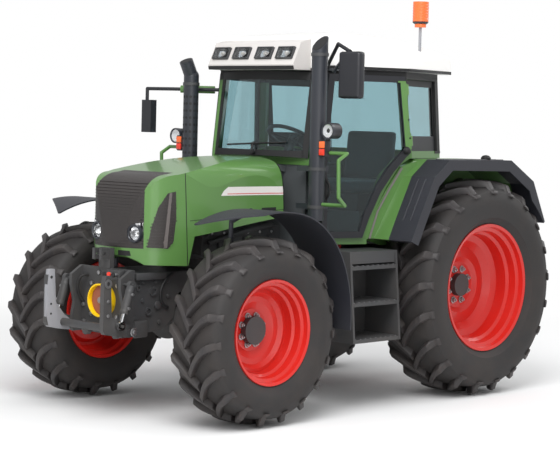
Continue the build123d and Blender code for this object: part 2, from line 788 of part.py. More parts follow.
with BuildPart() as left_door_glass:
    slab(door_origin, side_slope, glass_thickness, (door_thickness - glass_thickness) / 2)
    side_profile(place(window_outline), (0, 1500), mode=Mode.INTERSECT)
write(left_door_glass, "left_door_glass")

with BuildPart() as right_door:
    mirror(left_door.part, about=Plane.XZ)
write(right_door, "right_door")

with BuildPart() as right_door_glass:
    mirror(left_door_glass.part, about=Plane.XZ)
write(right_door_glass, "right_door_glass")

# Rear fenders: the green inner part with its wall beside the seat
def fender_band(points, wall):
    """A closed side outline that follows the fender line with one wall."""
    outer = [Vector(*place([point])[0]) for point in points]
    centre = Vector(rear_axle_x, rear_tyre_radius)
    inner = [point - (point - centre).normalized() * wall for point in outer]
    return [(point.X, point.Y) for point in outer] + [(point.X, point.Y) for point in reversed(inner)]


fender_line = [
    fender_front_foot, fender_front_knee, fender_front_shoulder, fender_top_front,
    fender_top_rear, fender_rear_shoulder, fender_rear_tip,
]
apron_outline = [
    fender_front_foot, (1040, 1250), (960, 1470), (850, 1650), (745, 1800), (600, 1845), (600, 1780),
    (850, 1390),
]
with BuildPart() as rear_fenders:
    slab(door_origin, side_slope, fender_wall, -panel_gap - fender_wall)
    side_profile(place(apron_outline), (0, 1500), mode=Mode.INTERSECT)
    side_profile(fender_band(fender_line, fender_wall), (fender_inner, fender_split))
    wall_outline = place(fender_line) + [(ahead(-560), 1180), (ahead(700), 1180)]
    side_profile(wall_outline, (fender_inner, fender_inner + fender_wall))
    mirror(about=Plane.XZ)
    add(cab_frame.part, mode=Mode.SUBTRACT)
write(rear_fenders, "rear_fenders")

with BuildPart() as fender_extensions:
    side_profile(fender_band(fender_line, fender_wall), (fender_split, fender_outer))
    side_profile(fender_band(fender_line, fender_lip_drop), (fender_outer - fender_lip_wall, fender_outer))
    rod((rear_axle_x, fender_split, rear_tyre_radius), (rear_axle_x, fender_outer + 10, rear_tyre_radius),
        rear_tyre_radius + fender_clearance, mode=Mode.SUBTRACT)
    mirror(about=Plane.XZ)
write(fender_extensions, "fender_extensions")

# Front fenders: thin arched bands on stays that stand on the knuckles
front_fender_line = [(-735, -25), (-715, 260), (-590, 560), (-340, 775), (-40, 838), (240, 810),
                     (front_fender_tip, 742)]
fender_points = [(front_axle_x + dx, front_tyre_radius + dz) for dx, dz in front_fender_line]
for side_name, side in (("left", 1), ("right", -1)):
    with BuildPart() as front_fender:
        with BuildSketch(Plane.XZ.offset(-side * front_fender_inner)):
            with BuildLine():
                Spline(*fender_points)
            trace(line_width=front_fender_wall)
        extrude(amount=-side * (front_fender_outer - front_fender_inner))
        with BuildSketch(Plane.XY):
            with BuildLine():
                Polyline((front_axle_x + front_fender_tip + 15, side * front_fender_inner),
                         (front_axle_x + front_fender_outer_tip, side * (front_fender_outer + 10)),
                         (front_axle_x + front_fender_tip + 200, side * (front_fender_outer + 10)),
                         (front_axle_x + front_fender_tip + 200, side * front_fender_inner), close=True)
            make_face()
        extrude(amount=2000, mode=Mode.SUBTRACT)
        stay_y = side * front_stay_y
        stay_foot = front_tyre_radius + kingpin_boss_height / 2 + fork_gap + fork_plate
        stay_head = (front_axle_x - 20, side * (front_fender_inner + 90), front_tyre_radius + 836)
        rod((front_axle_x - 20, stay_y, stay_foot), (front_axle_x - 20, stay_y, stay_head[2] - 90), 17)
        with Locations((front_axle_x - 20, stay_y, stay_head[2] - 90)):
            Sphere(17)
        rod((front_axle_x - 20, stay_y, stay_head[2] - 90), stay_head, 17)
    write(front_fender, f"{side_name}_front_fender")

# Dashboard with the steering column
column_way = Vector(-math.sin(math.radians(column_lean)), 0, math.cos(math.radians(column_lean)))
wheel_centre = Vector(ahead(steering_wheel_d), 0, steering_wheel_z)
with BuildPart() as dashboard:
    block((ahead(1200), cab_front_x - 40), (-170, 170), (floor_z, 1660))
    side_profile([(ahead(1190), 1660), (cab_front_x - 40, 1660), (cab_front_x - 40, 1790),
                  (ahead(1260), 1790)],
                 (-260, 260))
    column_foot = wheel_centre - column_way * 330
    column_top = wheel_centre - column_way * 34
    rod(tuple(column_foot), tuple(column_top), 34)
    rod(tuple(column_top), tuple(wheel_centre + column_way * 20), 15)
write(dashboard, "dashboard")

with BuildPart() as steering_wheel:
    wheel_plane = Plane(origin=wheel_centre, x_dir=(0, 1, 0), z_dir=column_way)
    with Locations(wheel_plane):
        Torus(steering_wheel_radius, 15)
    with BuildSketch(wheel_plane.offset(-26)):
        Circle(38)
    extrude(amount=56)
    for angle in (90, 210, 330):
        spoke = wheel_plane.from_local_coords(Vector(steering_wheel_radius, 0, 0).rotate(Axis.Z, angle))
        rod(tuple(wheel_centre), tuple(spoke), 9)
    with BuildSketch(wheel_plane.offset(-40)):
        Circle(15 + running_clearance)
    extrude(amount=66, mode=Mode.SUBTRACT)
write(steering_wheel, "steering_wheel")

# Driver's seat on its plinth
with BuildPart() as seat_base:
    block((ahead(180), ahead(560)), (-190, 190), (seat_plinth_z, 1560))
    block((ahead(230), ahead(620)), (-330, -270), (1700, 1770))
    block((ahead(330), ahead(400)), (-330, -190), (1500, 1560))
    block((ahead(330), ahead(400)), (-330, -270), (1500, 1700))
write(seat_base, "seat_base")

with BuildPart() as seat_cushion:
    block((ahead(170), ahead(640)), (-250, 250), (1560, 1680))
    fillet(seat_cushion.edges(), radius=30)
write(seat_cushion, "seat_cushion")

with BuildPart() as seat_back:
    side_profile(place([(170, 1680.3), (290, 1680.3), (240, 2060), (150, 2060)]), (-240, 240))
    fillet(seat_back.edges().filter_by(Axis.Y), radius=28)
write(seat_back, "seat_back")

# Exhaust and intake stacks beside the windscreen, each with its brackets
with BuildPart() as exhaust_stack:
    rod((stack_x, -stack_half, exhaust_foot_z), (stack_x, -stack_half, exhaust_bend_z), stack_radius)
    with Locations((stack_x, -stack_half, exhaust_bend_z)):
        Sphere(stack_radius)
    rod((stack_x, -stack_half, exhaust_bend_z), (stack_x + 62, -stack_half, exhaust_tip_z),
        stack_radius - 6)
    for height in (1480, 1760):
        block((ahead(1460), stack_x), (-stack_half, -480), (height, height + 40))
    add(cab_frame.part, mode=Mode.SUBTRACT)
write(exhaust_stack, "exhaust_stack")

with BuildPart() as intake_stack:
    rod((stack_x, stack_half, intake_foot_z), (stack_x, stack_half, intake_top_z), stack_radius)
    with BuildSketch(Plane(origin=(stack_x, stack_half, intake_top_z - 60), x_dir=(0, 1, 0),
                           z_dir=(1, 0, 1))):
        Rectangle(400, 400)
    extrude(amount=300, mode=Mode.SUBTRACT)
    for height in (1480, 1760):
        block((ahead(1460), stack_x), (480, stack_half), (height, height + 40))
    add(cab_frame.part, mode=Mode.SUBTRACT)
write(intake_stack, "intake_stack")


def tube(points, radius):
    """A bent tube through points, round at its corners."""
    for start, end in zip(points, points[1:]):
        rod(start, end, radius)
    for point in points[1:-1]:
        with Locations(point):
            Sphere(radius)


# Grab rails beside the doors, clamped round the stacks
with BuildPart() as grab_rails:
    for side in (1, -1):
        rail_y = side * grab_rail_y
        inner_y = side * stack_half
        tube([(stack_x, inner_y, 1900), (stack_x - 30, rail_y, 1900), (stack_x + 60, rail_y, 1850),
              (stack_x + 50, rail_y, 1580), (stack_x - 20, rail_y, 1520), (stack_x, inner_y, 1520)], 14)
    add(exhaust_stack.part, mode=Mode.SUBTRACT)
    add(intake_stack.part, mode=Mode.SUBTRACT)
    rod((stack_x, -stack_half, 1400), (stack_x, -stack_half, 2000), stack_radius, mode=Mode.SUBTRACT)
    rod((stack_x, stack_half, 1400), (stack_x, stack_half, 2000), stack_radius, mode=Mode.SUBTRACT)
write(grab_rails, "grab_rails")

# Work lamps and indicators on arms beside the stacks
with BuildPart() as work_lamps:
    for side, lamp_height in ((1, 2063), (-1, 1990)):
        lamp_x = stack_x - 20
        lamp_y = side * 815
        rod((stack_x, side * stack_half, lamp_height - 40), (lamp_x, lamp_y, lamp_height - 40), 12)
        rod((lamp_x, lamp_y, lamp_height - 50), (lamp_x, lamp_y, lamp_height), 12)
        rod((lamp_x - 40, lamp_y, lamp_height), (lamp_x + 50, lamp_y, lamp_height), 58)
    add(exhaust_stack.part, mode=Mode.SUBTRACT)
    add(intake_stack.part, mode=Mode.SUBTRACT)
write(work_lamps, "work_lamps")

# Rear view mirrors on their arms, the left one higher than the right
with BuildPart() as mirrors:
    left_foot = (ahead(a_post_top_d) + 22, frame_point(a_post_top_d, 2440)[1], 2440)
    tube([left_foot, (ahead(1520), 800, 2700), (ahead(1545), 945, 2640)], 14)
    block((ahead(1510), ahead(1570)), (860, 1050), (2310, 2635))
    right_foot = (ahead(a_post_top_d) + 22, -frame_point(a_post_top_d, 2360)[1], 2360)
    tube([right_foot, (ahead(1600), -900, 2360), (ahead(1645), -1140, 2360),
          (ahead(1645), -1140, 2250)], 14)
    block((ahead(1615), ahead(1675)), (-1170, -1060), (2010, 2270))
    add(cab_frame.part, mode=Mode.SUBTRACT)
write(mirrors, "mirrors")

# Beacon on its stalk at the rear left corner of the roof
with BuildPart() as beacon:
    rod((ahead(360), 620, roof_bottom_z + 80), (ahead(360), 620, 2900), 10)
    rod((ahead(360), 620, 2890), (ahead(360), 620, 2935), 45)
    rod((ahead(360), 620, 2935), (ahead(360), 620, 3090), 62)
    add(roof.part, mode=Mode.SUBTRACT)
write(beacon, "beacon")


# Bonnet: one shell cut from three crossed outlines, split from its grille
def bonnet_body(wall):
    """The bonnet's outer body, or with a wall its open inner space."""
    opening = 300 if wall else 0
    with BuildPart() as body:
        with BuildSketch(Plane.XZ):
            with BuildLine():
                Line((bonnet_rear_x - opening, 1410 - opening),
                     (bonnet_rear_x - opening, bonnet_rear_top_z - wall))
                Spline((bonnet_rear_x - opening, bonnet_rear_top_z - wall), (ahead(2100), 1828 - wall),
                       (ahead(2450), 1775 - wall), (ahead(2700), 1728 - wall))
                Spline((ahead(2700), 1728 - wall), (ahead(2860), 1672 - wall),
                       (nose_x - 42 - wall, 1570 - wall))
                Spline((nose_x - 42 - wall, 1570 - wall), (nose_x - 16 - wall, 1400), (nose_x - wall, 1230))
                Polyline((nose_x - wall, 1230), (nose_x - 12 - wall, 1150),
                         (nose_x - 70 - wall, 1092 - opening),
                         (ahead(2595), 1082 - opening), (ahead(2545), 1290 - opening),
                         (bonnet_rear_x - opening, 1410 - opening))
            make_face()
        extrude(amount=600, both=True)
        with BuildSketch(Plane.XY):
            with BuildLine():
                half = bonnet_rear_half - wall
                behind = bonnet_rear_x - opening - 50
                Line((behind, -half), (behind, half))
                Line((behind, half), (bonnet_rear_x, half))
                Spline((bonnet_rear_x, half), (ahead(2400), 408 - wall), (ahead(2700), 374 - wall),
                       (ahead(2880), 296 - wall), (nose_x - 24 - wall, 170), (nose_x + 4 - wall, 0),
                       (nose_x - 24 - wall, -170), (ahead(2880), wall - 296), (ahead(2700), wall - 374),
                       (ahead(2400), wall - 408), (bonnet_rear_x, -half))
                Line((bonnet_rear_x, -half), (behind, -half))
            make_face()
        extrude(amount=2500, both=True, mode=Mode.INTERSECT)
        with BuildSketch(Plane.YZ):
            with BuildLine():
                top = bonnet_rear_top_z + 12 - wall
                Line((-430 + wall, 700), (430 - wall, 700))
                Line((430 - wall, 700), (428 - wall, 1380))
                Spline((428 - wall, 1380), (408 - wall, 1640), (352 - wall, 1790), (170, top - 14),
                       (0, top),
                       (-170, top - 14), (wall - 352, 1790), (wall - 408, 1640), (wall - 428, 1380))
                Line((wall - 428, 1380), (-430 + wall, 700))
            make_face()
        extrude(amount=3000, both=True, mode=Mode.INTERSECT)
    return body.part


bonnet_outer = bonnet_body(0)
bonnet_inner = bonnet_body(bonnet_wall)
grille_box_x = (grille_rear_x, nose_x + 50)
with BuildPart() as bonnet:
    add(bonnet_outer)
    add(bonnet_inner, mode=Mode.SUBTRACT)
    block(grille_box_x, (-grille_half_width, grille_half_width), (grille_bottom_z, 2000),
          mode=Mode.SUBTRACT)
    for side in (1, -1):
        lug_y = side * 216
        with BuildSketch(Plane.XZ.offset(-lug_y - 8)):
            with Locations((bonnet_hinge_x, bonnet_hinge_z)):
                Circle(20)
            with Locations((bonnet_hinge_x + 20, bonnet_hinge_z + 14)):
                Rectangle(40, 50)
        extrude(amount=16)
        rod((bonnet_hinge_x, side * 208, bonnet_hinge_z), (bonnet_hinge_x, side * 262, bonnet_hinge_z), 12)
write(bonnet, "bonnet")

with BuildPart() as headlights:
    for side in (1, -1):
        rod((nose_x - 110, side * lamp_half, lamp_z), (nose_x - 16, side * lamp_half, lamp_z), lamp_radius)
write(headlights, "headlights")

with BuildPart() as grille:
    add(bonnet_outer)
    add(bonnet_inner, mode=Mode.SUBTRACT)
    block(grille_box_x, (-grille_half_width, grille_half_width), (grille_bottom_z, 2000),
          mode=Mode.INTERSECT)
    add(headlights.part, mode=Mode.SUBTRACT)
write(grille, "grille")

# Front linkage frame with its cheeks, pins and tow clevis
with BuildPart() as front_linkage_frame:
    block((frame_front_x, frame_front_x + linkage_plate), (-cheek_outer, cheek_outer), (590, 1060))
    rod((frame_front_x, 0, pto_z), (frame_front_x + linkage_plate, 0, pto_z), pto_guard_radius - 20,
        mode=Mode.SUBTRACT)
    for side in (1, -1):
        low = min(side * cheek_inner, side * cheek_outer)
        side_profile([(frame_front_x + linkage_plate, 590), (cheek_front_x - 20, 590), (cheek_front_x, 640),
                      (cheek_front_x - 30, 800), (cheek_front_x, 930), (cheek_front_x, 1000),
                      (frame_front_x + linkage_plate, 1060)], (low, low + cheek_outer - cheek_inner))
        rod((link_pivot_x, side * cheek_outer, link_pivot_z),
            (link_pivot_x, side * (link_inner + link_thickness + 8), link_pivot_z), link_pin_radius)
        rod((cylinder_pin_x, side * cheek_outer, cylinder_pin_z),
            (cylinder_pin_x, side * (cylinder_y + 28), cylinder_pin_z), cylinder_pin_radius)
    block((frame_front_x, frame_front_x + 40), (-60, 60), (1060, 1200))
    for side in (1, -1):
        low = min(side * 25, side * 50)
        block((frame_front_x + 40, frame_front_x + 110), (low, low + 25), (1120, 1200))
    rod((frame_front_x + 80, -50, 1160), (frame_front_x + 80, 50, 1160), 13, mode=Mode.SUBTRACT)
write(front_linkage_frame, "front_linkage_frame")

# Guard ring and cap over the front power take-off
with BuildPart() as front_pto_guard:
    rod((frame_front_x + linkage_plate, 0, pto_z), (frame_front_x + linkage_plate + 60, 0, pto_z),
        pto_guard_radius)
    rod((frame_front_x + linkage_plate + 12, 0, pto_z), (frame_front_x + linkage_plate + 60, 0, pto_z),
        pto_guard_radius - 10, mode=Mode.SUBTRACT)
write(front_pto_guard, "front_pto_guard")

# Front lower links, folded up, joined by a cross tube
with BuildPart() as front_lower_links:
    for side in (1, -1):
        low = min(side * link_inner, side * (link_inner + link_thickness))
        side_profile([(link_pivot_x - 38, link_pivot_z - 30), (link_pivot_x, link_pivot_z - 45),
                      (link_tip_x, link_tip_z - 60), (link_tip_x + 20, link_tip_z - 30),
                      (link_tip_x + 16, link_upright_top_z - 60), (link_tip_x, link_upright_top_z),
                      (link_tip_x - 44, link_upright_top_z), (link_tip_x - 56, link_tip_z + 60),
                      (link_pivot_x, link_pivot_z + 45), (link_pivot_x - 38, link_pivot_z + 30)],
                     (low, low + link_thickness))
        rod((link_pivot_x, side * (link_inner - 20), link_pivot_z),
            (link_pivot_x, side * (link_inner + link_thickness + 20), link_pivot_z),
            link_pin_radius + running_clearance, mode=Mode.SUBTRACT)
        rod((rod_eye_x, side * (link_inner + link_thickness), rod_eye_z),
            (rod_eye_x, side * (cylinder_y + 28), rod_eye_z), cylinder_pin_radius)
    cross_half = link_inner - seat_gap
    rod((ahead(3170), -cross_half, 655), (ahead(3170), cross_half, 655), 28)
    rod((link_tip_x - link_bore_back, -link_inner - 60, link_upright_top_z - 55),
        (link_tip_x - link_bore_back, link_inner + 60, link_upright_top_z - 55), front_link_bore,
        mode=Mode.SUBTRACT)
write(front_lower_links, "front_lower_links")

# Lift cylinders between the cheeks and the front links
cylinder_way = Vector(rod_eye_x - cylinder_pin_x, 0, rod_eye_z - cylinder_pin_z)
cylinder_length = cylinder_way.length
cylinder_unit = cylinder_way.normalized()
with BuildPart() as front_lift_barrels:
    for side in (1, -1):
        head = Vector(cylinder_pin_x, side * cylinder_y, cylinder_pin_z)
        rod(tuple(head + cylinder_unit * 6), tuple(head + cylinder_unit * barrel_length), barrel_radius)
        rod((cylinder_pin_x, side * (cylinder_y - 17), cylinder_pin_z),
            (cylinder_pin_x, side * (cylinder_y + 17), cylinder_pin_z), 30)
        rod((cylinder_pin_x, side * (cylinder_y - 40), cylinder_pin_z),
            (cylinder_pin_x, side * (cylinder_y + 40), cylinder_pin_z),
            cylinder_pin_radius + running_clearance,
            mode=Mode.SUBTRACT)
        rod(tuple(head + cylinder_unit * 70), tuple(head + cylinder_unit * (barrel_length + 5)),
            rod_radius + running_clearance, mode=Mode.SUBTRACT)
write(front_lift_barrels, "front_lift_barrels")

with BuildPart() as front_lift_rods:
    for side in (1, -1):
        head = Vector(cylinder_pin_x, side * cylinder_y, cylinder_pin_z)
        rod(tuple(head + cylinder_unit * 120), tuple(head + cylinder_unit * (cylinder_length - 20)),
            rod_radius)
        rod((rod_eye_x, side * (cylinder_y - 17), rod_eye_z), (rod_eye_x, side * (cylinder_y + 17),
                                                               rod_eye_z), 31)
        rod((rod_eye_x, side * (cylinder_y - 40), rod_eye_z), (rod_eye_x, side * (cylinder_y + 40),
                                                               rod_eye_z),
            cylinder_pin_radius + rod_eye_slack, mode=Mode.SUBTRACT)
write(front_lift_rods, "front_lift_rods")

# Rear hitch: rockshaft case, link hangers, top link ears, drawbar and power take-off stub
hanger_outer = axle_case_half_width + 25
link_pin_end = lower_pivot_y + link_half_thickness + 8
with BuildPart() as rear_hitch:
    block((axle_case_rear_x, axle_case_rear_x + 160), (-axle_case_half_width, axle_case_half_width),
          (axle_case_top_z, lift_shaft_z + 50))
    block((axle_case_rear_x - 30, axle_case_rear_x), (-60, 60), (drawbar_z, lift_shaft_z + 50))
    for side in (1, -1):
        rod((lift_shaft_x, side * axle_case_half_width, lift_shaft_z),
            (lift_shaft_x, side * (lift_arm_y + link_half_thickness + 8), lift_shaft_z), lift_shaft_radius)
        low = min(side * 30, side * 52)
        block((axle_case_rear_x - 110, axle_case_rear_x - 30), (low, low + 22), (930, 1030))
        low = min(side * (axle_case_half_width - 60), side * hanger_outer)
        block((lower_pivot_x - 60, lower_pivot_x + 60), (low,
                                                         low + hanger_outer - axle_case_half_width + 60),
              (lower_pivot_z - 50, axle_case_bottom_z))
        low = min(side * axle_case_half_width, side * hanger_outer)
        block((lower_pivot_x - 60, lower_pivot_x + 60), (low, low + hanger_outer - axle_case_half_width),
              (lower_pivot_z - 50, axle_case_bottom_z + 110))
        rod((lower_pivot_x, side * hanger_outer, lower_pivot_z),
            (lower_pivot_x, side * link_pin_end, lower_pivot_z),
            lower_pin_radius)
    rod((axle_case_rear_x - 70, -60, 980), (axle_case_rear_x - 70, 60, 980), top_link_bore,
        mode=Mode.SUBTRACT)
    block((drawbar_tip_x, axle_case_rear_x + 120), (-45, 45), (drawbar_z, drawbar_z + 40))
    block((axle_case_rear_x - 10, axle_case_rear_x + 120), (-45, 45), (drawbar_z + 40, axle_case_bottom_z))
    rod((drawbar_tip_x + 50, 0, drawbar_z - 20), (drawbar_tip_x + 50, 0, drawbar_z + 60), drawbar_bore,
        mode=Mode.SUBTRACT)
    rod((axle_case_rear_x - 30, 0, rear_pto_z), (axle_case_rear_x - 130, 0, rear_pto_z), rear_pto_radius)
write(rear_hitch, "rear_hitch")


# Rear lower links, spread towards their tips, with an eye at each end
lower_pivot = (lower_pivot_x, lower_pivot_y, lower_pivot_z)
lower_tip = (lower_tip_x, lower_tip_y, lower_tip_z)
link_way = Vector(*lower_tip) - Vector(*lower_pivot)
foot_share = (lift_rod_foot_x - lower_pivot_x) / (lower_tip_x - lower_pivot_x)
foot_point = Vector(*lower_pivot) + link_way * foot_share
with BuildPart() as rear_lower_links:
    bar(lower_pivot, lower_tip, 76, 2 * link_half_thickness)
    rod((lower_pivot[0], lower_pivot[1] - 16, lower_pivot[2]),
        (lower_pivot[0], lower_pivot[1] + 14, lower_pivot[2]), 44)
    rod((lower_tip[0], lower_tip[1] - 20, lower_tip[2]), (lower_tip[0], lower_tip[1] + 20,
                                                          lower_tip[2]), 42)
    rod((foot_point.X, foot_point.Y - 76, foot_point.Z), (foot_point.X, foot_point.Y, foot_point.Z), 14)
    rod((lower_pivot[0], 200, lower_pivot[2]), (lower_pivot[0], 400, lower_pivot[2]),
        lower_pin_radius + running_clearance, mode=Mode.SUBTRACT)
    rod((lower_tip[0], 300, lower_tip[2]), (lower_tip[0], 500, lower_tip[2]), lower_bore_radius,
        mode=Mode.SUBTRACT)
    mirror(about=Plane.XZ)
write(rear_lower_links, "rear_lower_links")

# Lift arms above, parallel to the stretch of link below them
arm_tip = (lift_shaft_x + foot_point.X - lower_pivot_x, lift_arm_y,
           lift_shaft_z + foot_point.Z - lower_pivot_z)
with BuildPart() as rear_lift_arms:
    bar((lift_shaft_x, lift_arm_y, lift_shaft_z), arm_tip, 70, 2 * link_half_thickness)
    rod((lift_shaft_x, lift_arm_y - link_half_thickness, lift_shaft_z),
        (lift_shaft_x, lift_arm_y + link_half_thickness, lift_shaft_z), 52)
    rod((arm_tip[0], lift_arm_y - link_half_thickness, arm_tip[2]),
        (arm_tip[0], lift_arm_y + link_half_thickness, arm_tip[2]), 36)
    rod((arm_tip[0], lift_arm_y - 52, arm_tip[2]), (arm_tip[0], lift_arm_y, arm_tip[2]), 14)
    rod((lift_shaft_x, 200, lift_shaft_z), (lift_shaft_x, 400, lift_shaft_z),
        lift_shaft_radius + running_clearance, mode=Mode.SUBTRACT)
    mirror(about=Plane.XZ)
write(rear_lift_arms, "rear_lift_arms")

# Lift rods that hang from the arms, each with an eye at its foot round the link's pin
lift_rod_y = lift_arm_y - 35
with BuildPart() as rear_lift_rods:
    rod((arm_tip[0], lift_rod_y, arm_tip[2]), (foot_point.X, lift_rod_y, foot_point.Z), 15)
    for end, radius in ((arm_tip, 32), (tuple(foot_point), 34)):
        rod((end[0], lift_rod_y - 14, end[2]), (end[0], lift_rod_y + 14, end[2]), radius)
    rod((arm_tip[0], 200, arm_tip[2]), (arm_tip[0], 400, arm_tip[2]), 14 + running_clearance,
        mode=Mode.SUBTRACT)
    rod((foot_point.X, 200, foot_point.Z), (foot_point.X, 400, foot_point.Z), 14 + 5, mode=Mode.SUBTRACT)
    mirror(about=Plane.XZ)
write(rear_lift_rods, "rear_lift_rods")
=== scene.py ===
# %% [markdown]
# This lesson dresses the CAD model of a farm tractor for a photograph-like
# render. The CAD model is the fixed frame: every piece below is placed in
# metres in its coordinates, X forward, Y to the driver's left, Z up. The
# first cell loads it.

# %% Load the frame
import json
import math

import bpy
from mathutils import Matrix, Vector

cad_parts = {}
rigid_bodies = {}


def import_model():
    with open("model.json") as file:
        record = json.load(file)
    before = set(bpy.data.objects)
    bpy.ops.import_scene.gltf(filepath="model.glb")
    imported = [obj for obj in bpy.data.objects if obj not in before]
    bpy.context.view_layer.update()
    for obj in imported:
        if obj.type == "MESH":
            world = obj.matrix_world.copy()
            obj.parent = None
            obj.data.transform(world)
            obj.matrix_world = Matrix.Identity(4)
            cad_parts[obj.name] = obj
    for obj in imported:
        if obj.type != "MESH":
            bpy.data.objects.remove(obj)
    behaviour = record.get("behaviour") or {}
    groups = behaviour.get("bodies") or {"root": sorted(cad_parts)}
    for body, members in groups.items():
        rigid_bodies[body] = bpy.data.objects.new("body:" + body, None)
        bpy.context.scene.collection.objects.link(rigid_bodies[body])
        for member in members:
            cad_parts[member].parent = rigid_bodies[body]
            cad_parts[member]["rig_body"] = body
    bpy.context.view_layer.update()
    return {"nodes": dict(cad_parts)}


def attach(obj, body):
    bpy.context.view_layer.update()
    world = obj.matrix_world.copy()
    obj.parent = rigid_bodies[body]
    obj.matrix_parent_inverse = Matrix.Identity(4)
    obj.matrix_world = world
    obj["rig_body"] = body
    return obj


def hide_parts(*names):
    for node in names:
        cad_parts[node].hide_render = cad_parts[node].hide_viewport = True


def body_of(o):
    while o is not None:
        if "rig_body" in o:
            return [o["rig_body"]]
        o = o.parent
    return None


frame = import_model()
nodes = frame["nodes"]

# %% [markdown]
# Every piece starts as one of Blender's primitives, so a few helpers do what
# the hand does over and over: leave edit mode, pick one object, apply a
# modifier, and give a finished piece its name, finish and body.

# %% Picking and finishing helpers
REAR_AXLE_X = -1.112
FRONT_AXLE = 2.417
REAR_RADIUS = 0.855
FRONT_RADIUS = 0.66
SIDES = (("left", 1), ("right", -1))


def ahead(distance):
    """X of a point that many metres ahead of the rear axle."""
    return REAR_AXLE_X + distance


def at(distance, across, height):
    """A point that many metres ahead of the rear axle."""
    return ahead(distance), across, height


def fresh():
    active = bpy.context.object
    if active and active.mode != "OBJECT":
        bpy.ops.object.mode_set(mode="OBJECT")
    bpy.ops.object.select_all(action="DESELECT")


def pick(piece):
    fresh()
    piece.select_set(True)
    bpy.context.view_layer.objects.active = piece


def edit(piece):
    pick(piece)
    bpy.ops.object.mode_set(mode="EDIT")
    bpy.ops.mesh.select_all(action="SELECT")


def weld():
    """Merge the corners of the edited mesh that share a place."""
    bpy.ops.mesh.select_all(action="SELECT")
    bpy.ops.mesh.remove_doubles(threshold=1e-5)


def face_out(piece):
    """Turn all faces of a closed mesh outward."""
    edit(piece)
    bpy.ops.mesh.normals_make_consistent(inside=False)
    fresh()


def settle(piece):
    """Put the piece's place and turn into its mesh."""
    pick(piece)
    bpy.ops.object.transform_apply(location=True, rotation=True, scale=True)
    return piece


def modify(piece, kind, **settings):
    pick(piece)
    modifier = piece.modifiers.new(kind.lower(), kind)
    for key, value in settings.items():
        setattr(modifier, key, value)
    bpy.ops.object.modifier_apply(modifier=modifier.name)
    return piece


def bevel_edges(piece, width, **settings):
    return modify(piece, "BEVEL", width=width, limit_method="ANGLE", **settings)


def paint(piece, look):
    piece.data.materials.clear()
    piece.data.materials.append(look)
    return piece


def join(pieces):
    pick(pieces[0])
    for piece in pieces:
        piece.select_set(True)
    bpy.ops.object.join()
    return pieces[0]


def done(piece, name, body, look=None, smooth=35):
    """Name a finished piece and let it ride on its CAD body."""
    settle(piece)
    if look:
        paint(piece, look)
    bpy.ops.object.shade_smooth_by_angle(angle=math.radians(smooth))
    piece.name = name
    piece.data.name = name
    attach(piece, body)
    return piece


def build(pieces, name, look=None, body="chassis"):
    return done(join(pieces), name, body, look)


# %% [markdown]
# Three shapes cover most small parts of a machine: a bevelled block, a rod
# between two points and a turned profile. The turned one is drawn as a ring
# of points and spun round its axis, as on a lathe.

# %% Shape helpers
def point_along(piece, way):
    """Turn a piece built upright so that its Z runs along a direction."""
    piece.rotation_mode = "QUATERNION"
    piece.rotation_quaternion = Vector(way).to_track_quat("Z", "Y")


def block(low, high, bevel=0.003, segments=2):
    """A box between two opposite corners."""
    fresh()
    bpy.ops.mesh.primitive_cube_add(size=1, location=[(a + b) / 2 for a, b in zip(low, high)])
    piece = bpy.context.object
    piece.scale = [abs(b - a) for a, b in zip(low, high)]
    settle(piece)
    return bevel_edges(piece, bevel, segments=segments) if bevel else piece


def rod(start, end, radius, sides=20, bevel=0):
    fresh()
    way = Vector(end) - Vector(start)
    bpy.ops.mesh.primitive_cone_add(
        vertices=sides, radius1=radius, radius2=radius,
        depth=way.length, location=(Vector(start) + Vector(end)) / 2)
    piece = bpy.context.object
    point_along(piece, way)
    settle(piece)
    return bevel_edges(piece, bevel, segments=2, angle_limit=math.radians(50)) if bevel else piece


def turned(profile, centre, way, steps=48):
    """Spin a closed outline of (along, radius) pairs round an axis."""
    fresh()
    bpy.ops.mesh.primitive_circle_add(vertices=len(profile), fill_type="NOTHING")
    piece = bpy.context.object
    for corner, (along, radius) in zip(piece.data.vertices, profile):
        corner.co = (radius, 0, along)
    edit(piece)
    bpy.ops.mesh.spin(steps=steps, angle=2 * math.pi, center=(0, 0, 0), axis=(0, 0, 1))
    weld()
    bpy.ops.mesh.normals_make_consistent(inside=False)
    fresh()
    point_along(piece, way)
    piece.location = centre
    return settle(piece)


def hose(points, radius):
    """A smooth tube through a few points, made a mesh."""
    fresh()
    curve = bpy.data.curves.new("hose", "CURVE")
    curve.dimensions = "3D"
    curve.bevel_depth = radius
    curve.bevel_resolution = 3
    curve.resolution_u = 8
    curve.use_fill_caps = True
    spline = curve.splines.new("NURBS")
    spline.points.add(len(points) - 1)
    for point, place in zip(spline.points, points):
        point.co = (*place, 1)
    spline.order_u = 3
    spline.use_endpoint_u = True
    piece = bpy.data.objects.new("hose", curve)
    bpy.context.scene.collection.objects.link(piece)
    pick(piece)
    bpy.ops.object.convert(target="MESH")
    return bpy.context.object


def plate(outline, low, high):
    """A flat plate from one Y to another; its outline holds distance ahead and height."""
    fresh()
    bpy.ops.mesh.primitive_circle_add(vertices=len(outline), fill_type="NGON")
    piece = bpy.context.object
    for corner, (distance, height) in zip(piece.data.vertices, outline):
        corner.co = at(distance, (low + high) / 2, height)
    modify(piece, "SOLIDIFY", thickness=high - low, offset=0)
    face_out(piece)
    return bevel_edges(piece, 0.004, segments=2)


def nut(place, way, radius=0.016, height=0.014):
    start = Vector(place)
    return rod(start, start + Vector(way).normalized() * height, radius, sides=6, bevel=0.0015)


# %% [markdown]
# Stripes, vents and seams lie on curved sheet metal. A patch is a copy of
# the CAD skin, cut to an outline by bisecting it with one plane for each
# edge, and then lifted and thickened, so it follows every curve of the skin.
# On a side its outline holds distance ahead of the rear axle and height, and
# seen from the front or back it holds Y and height.

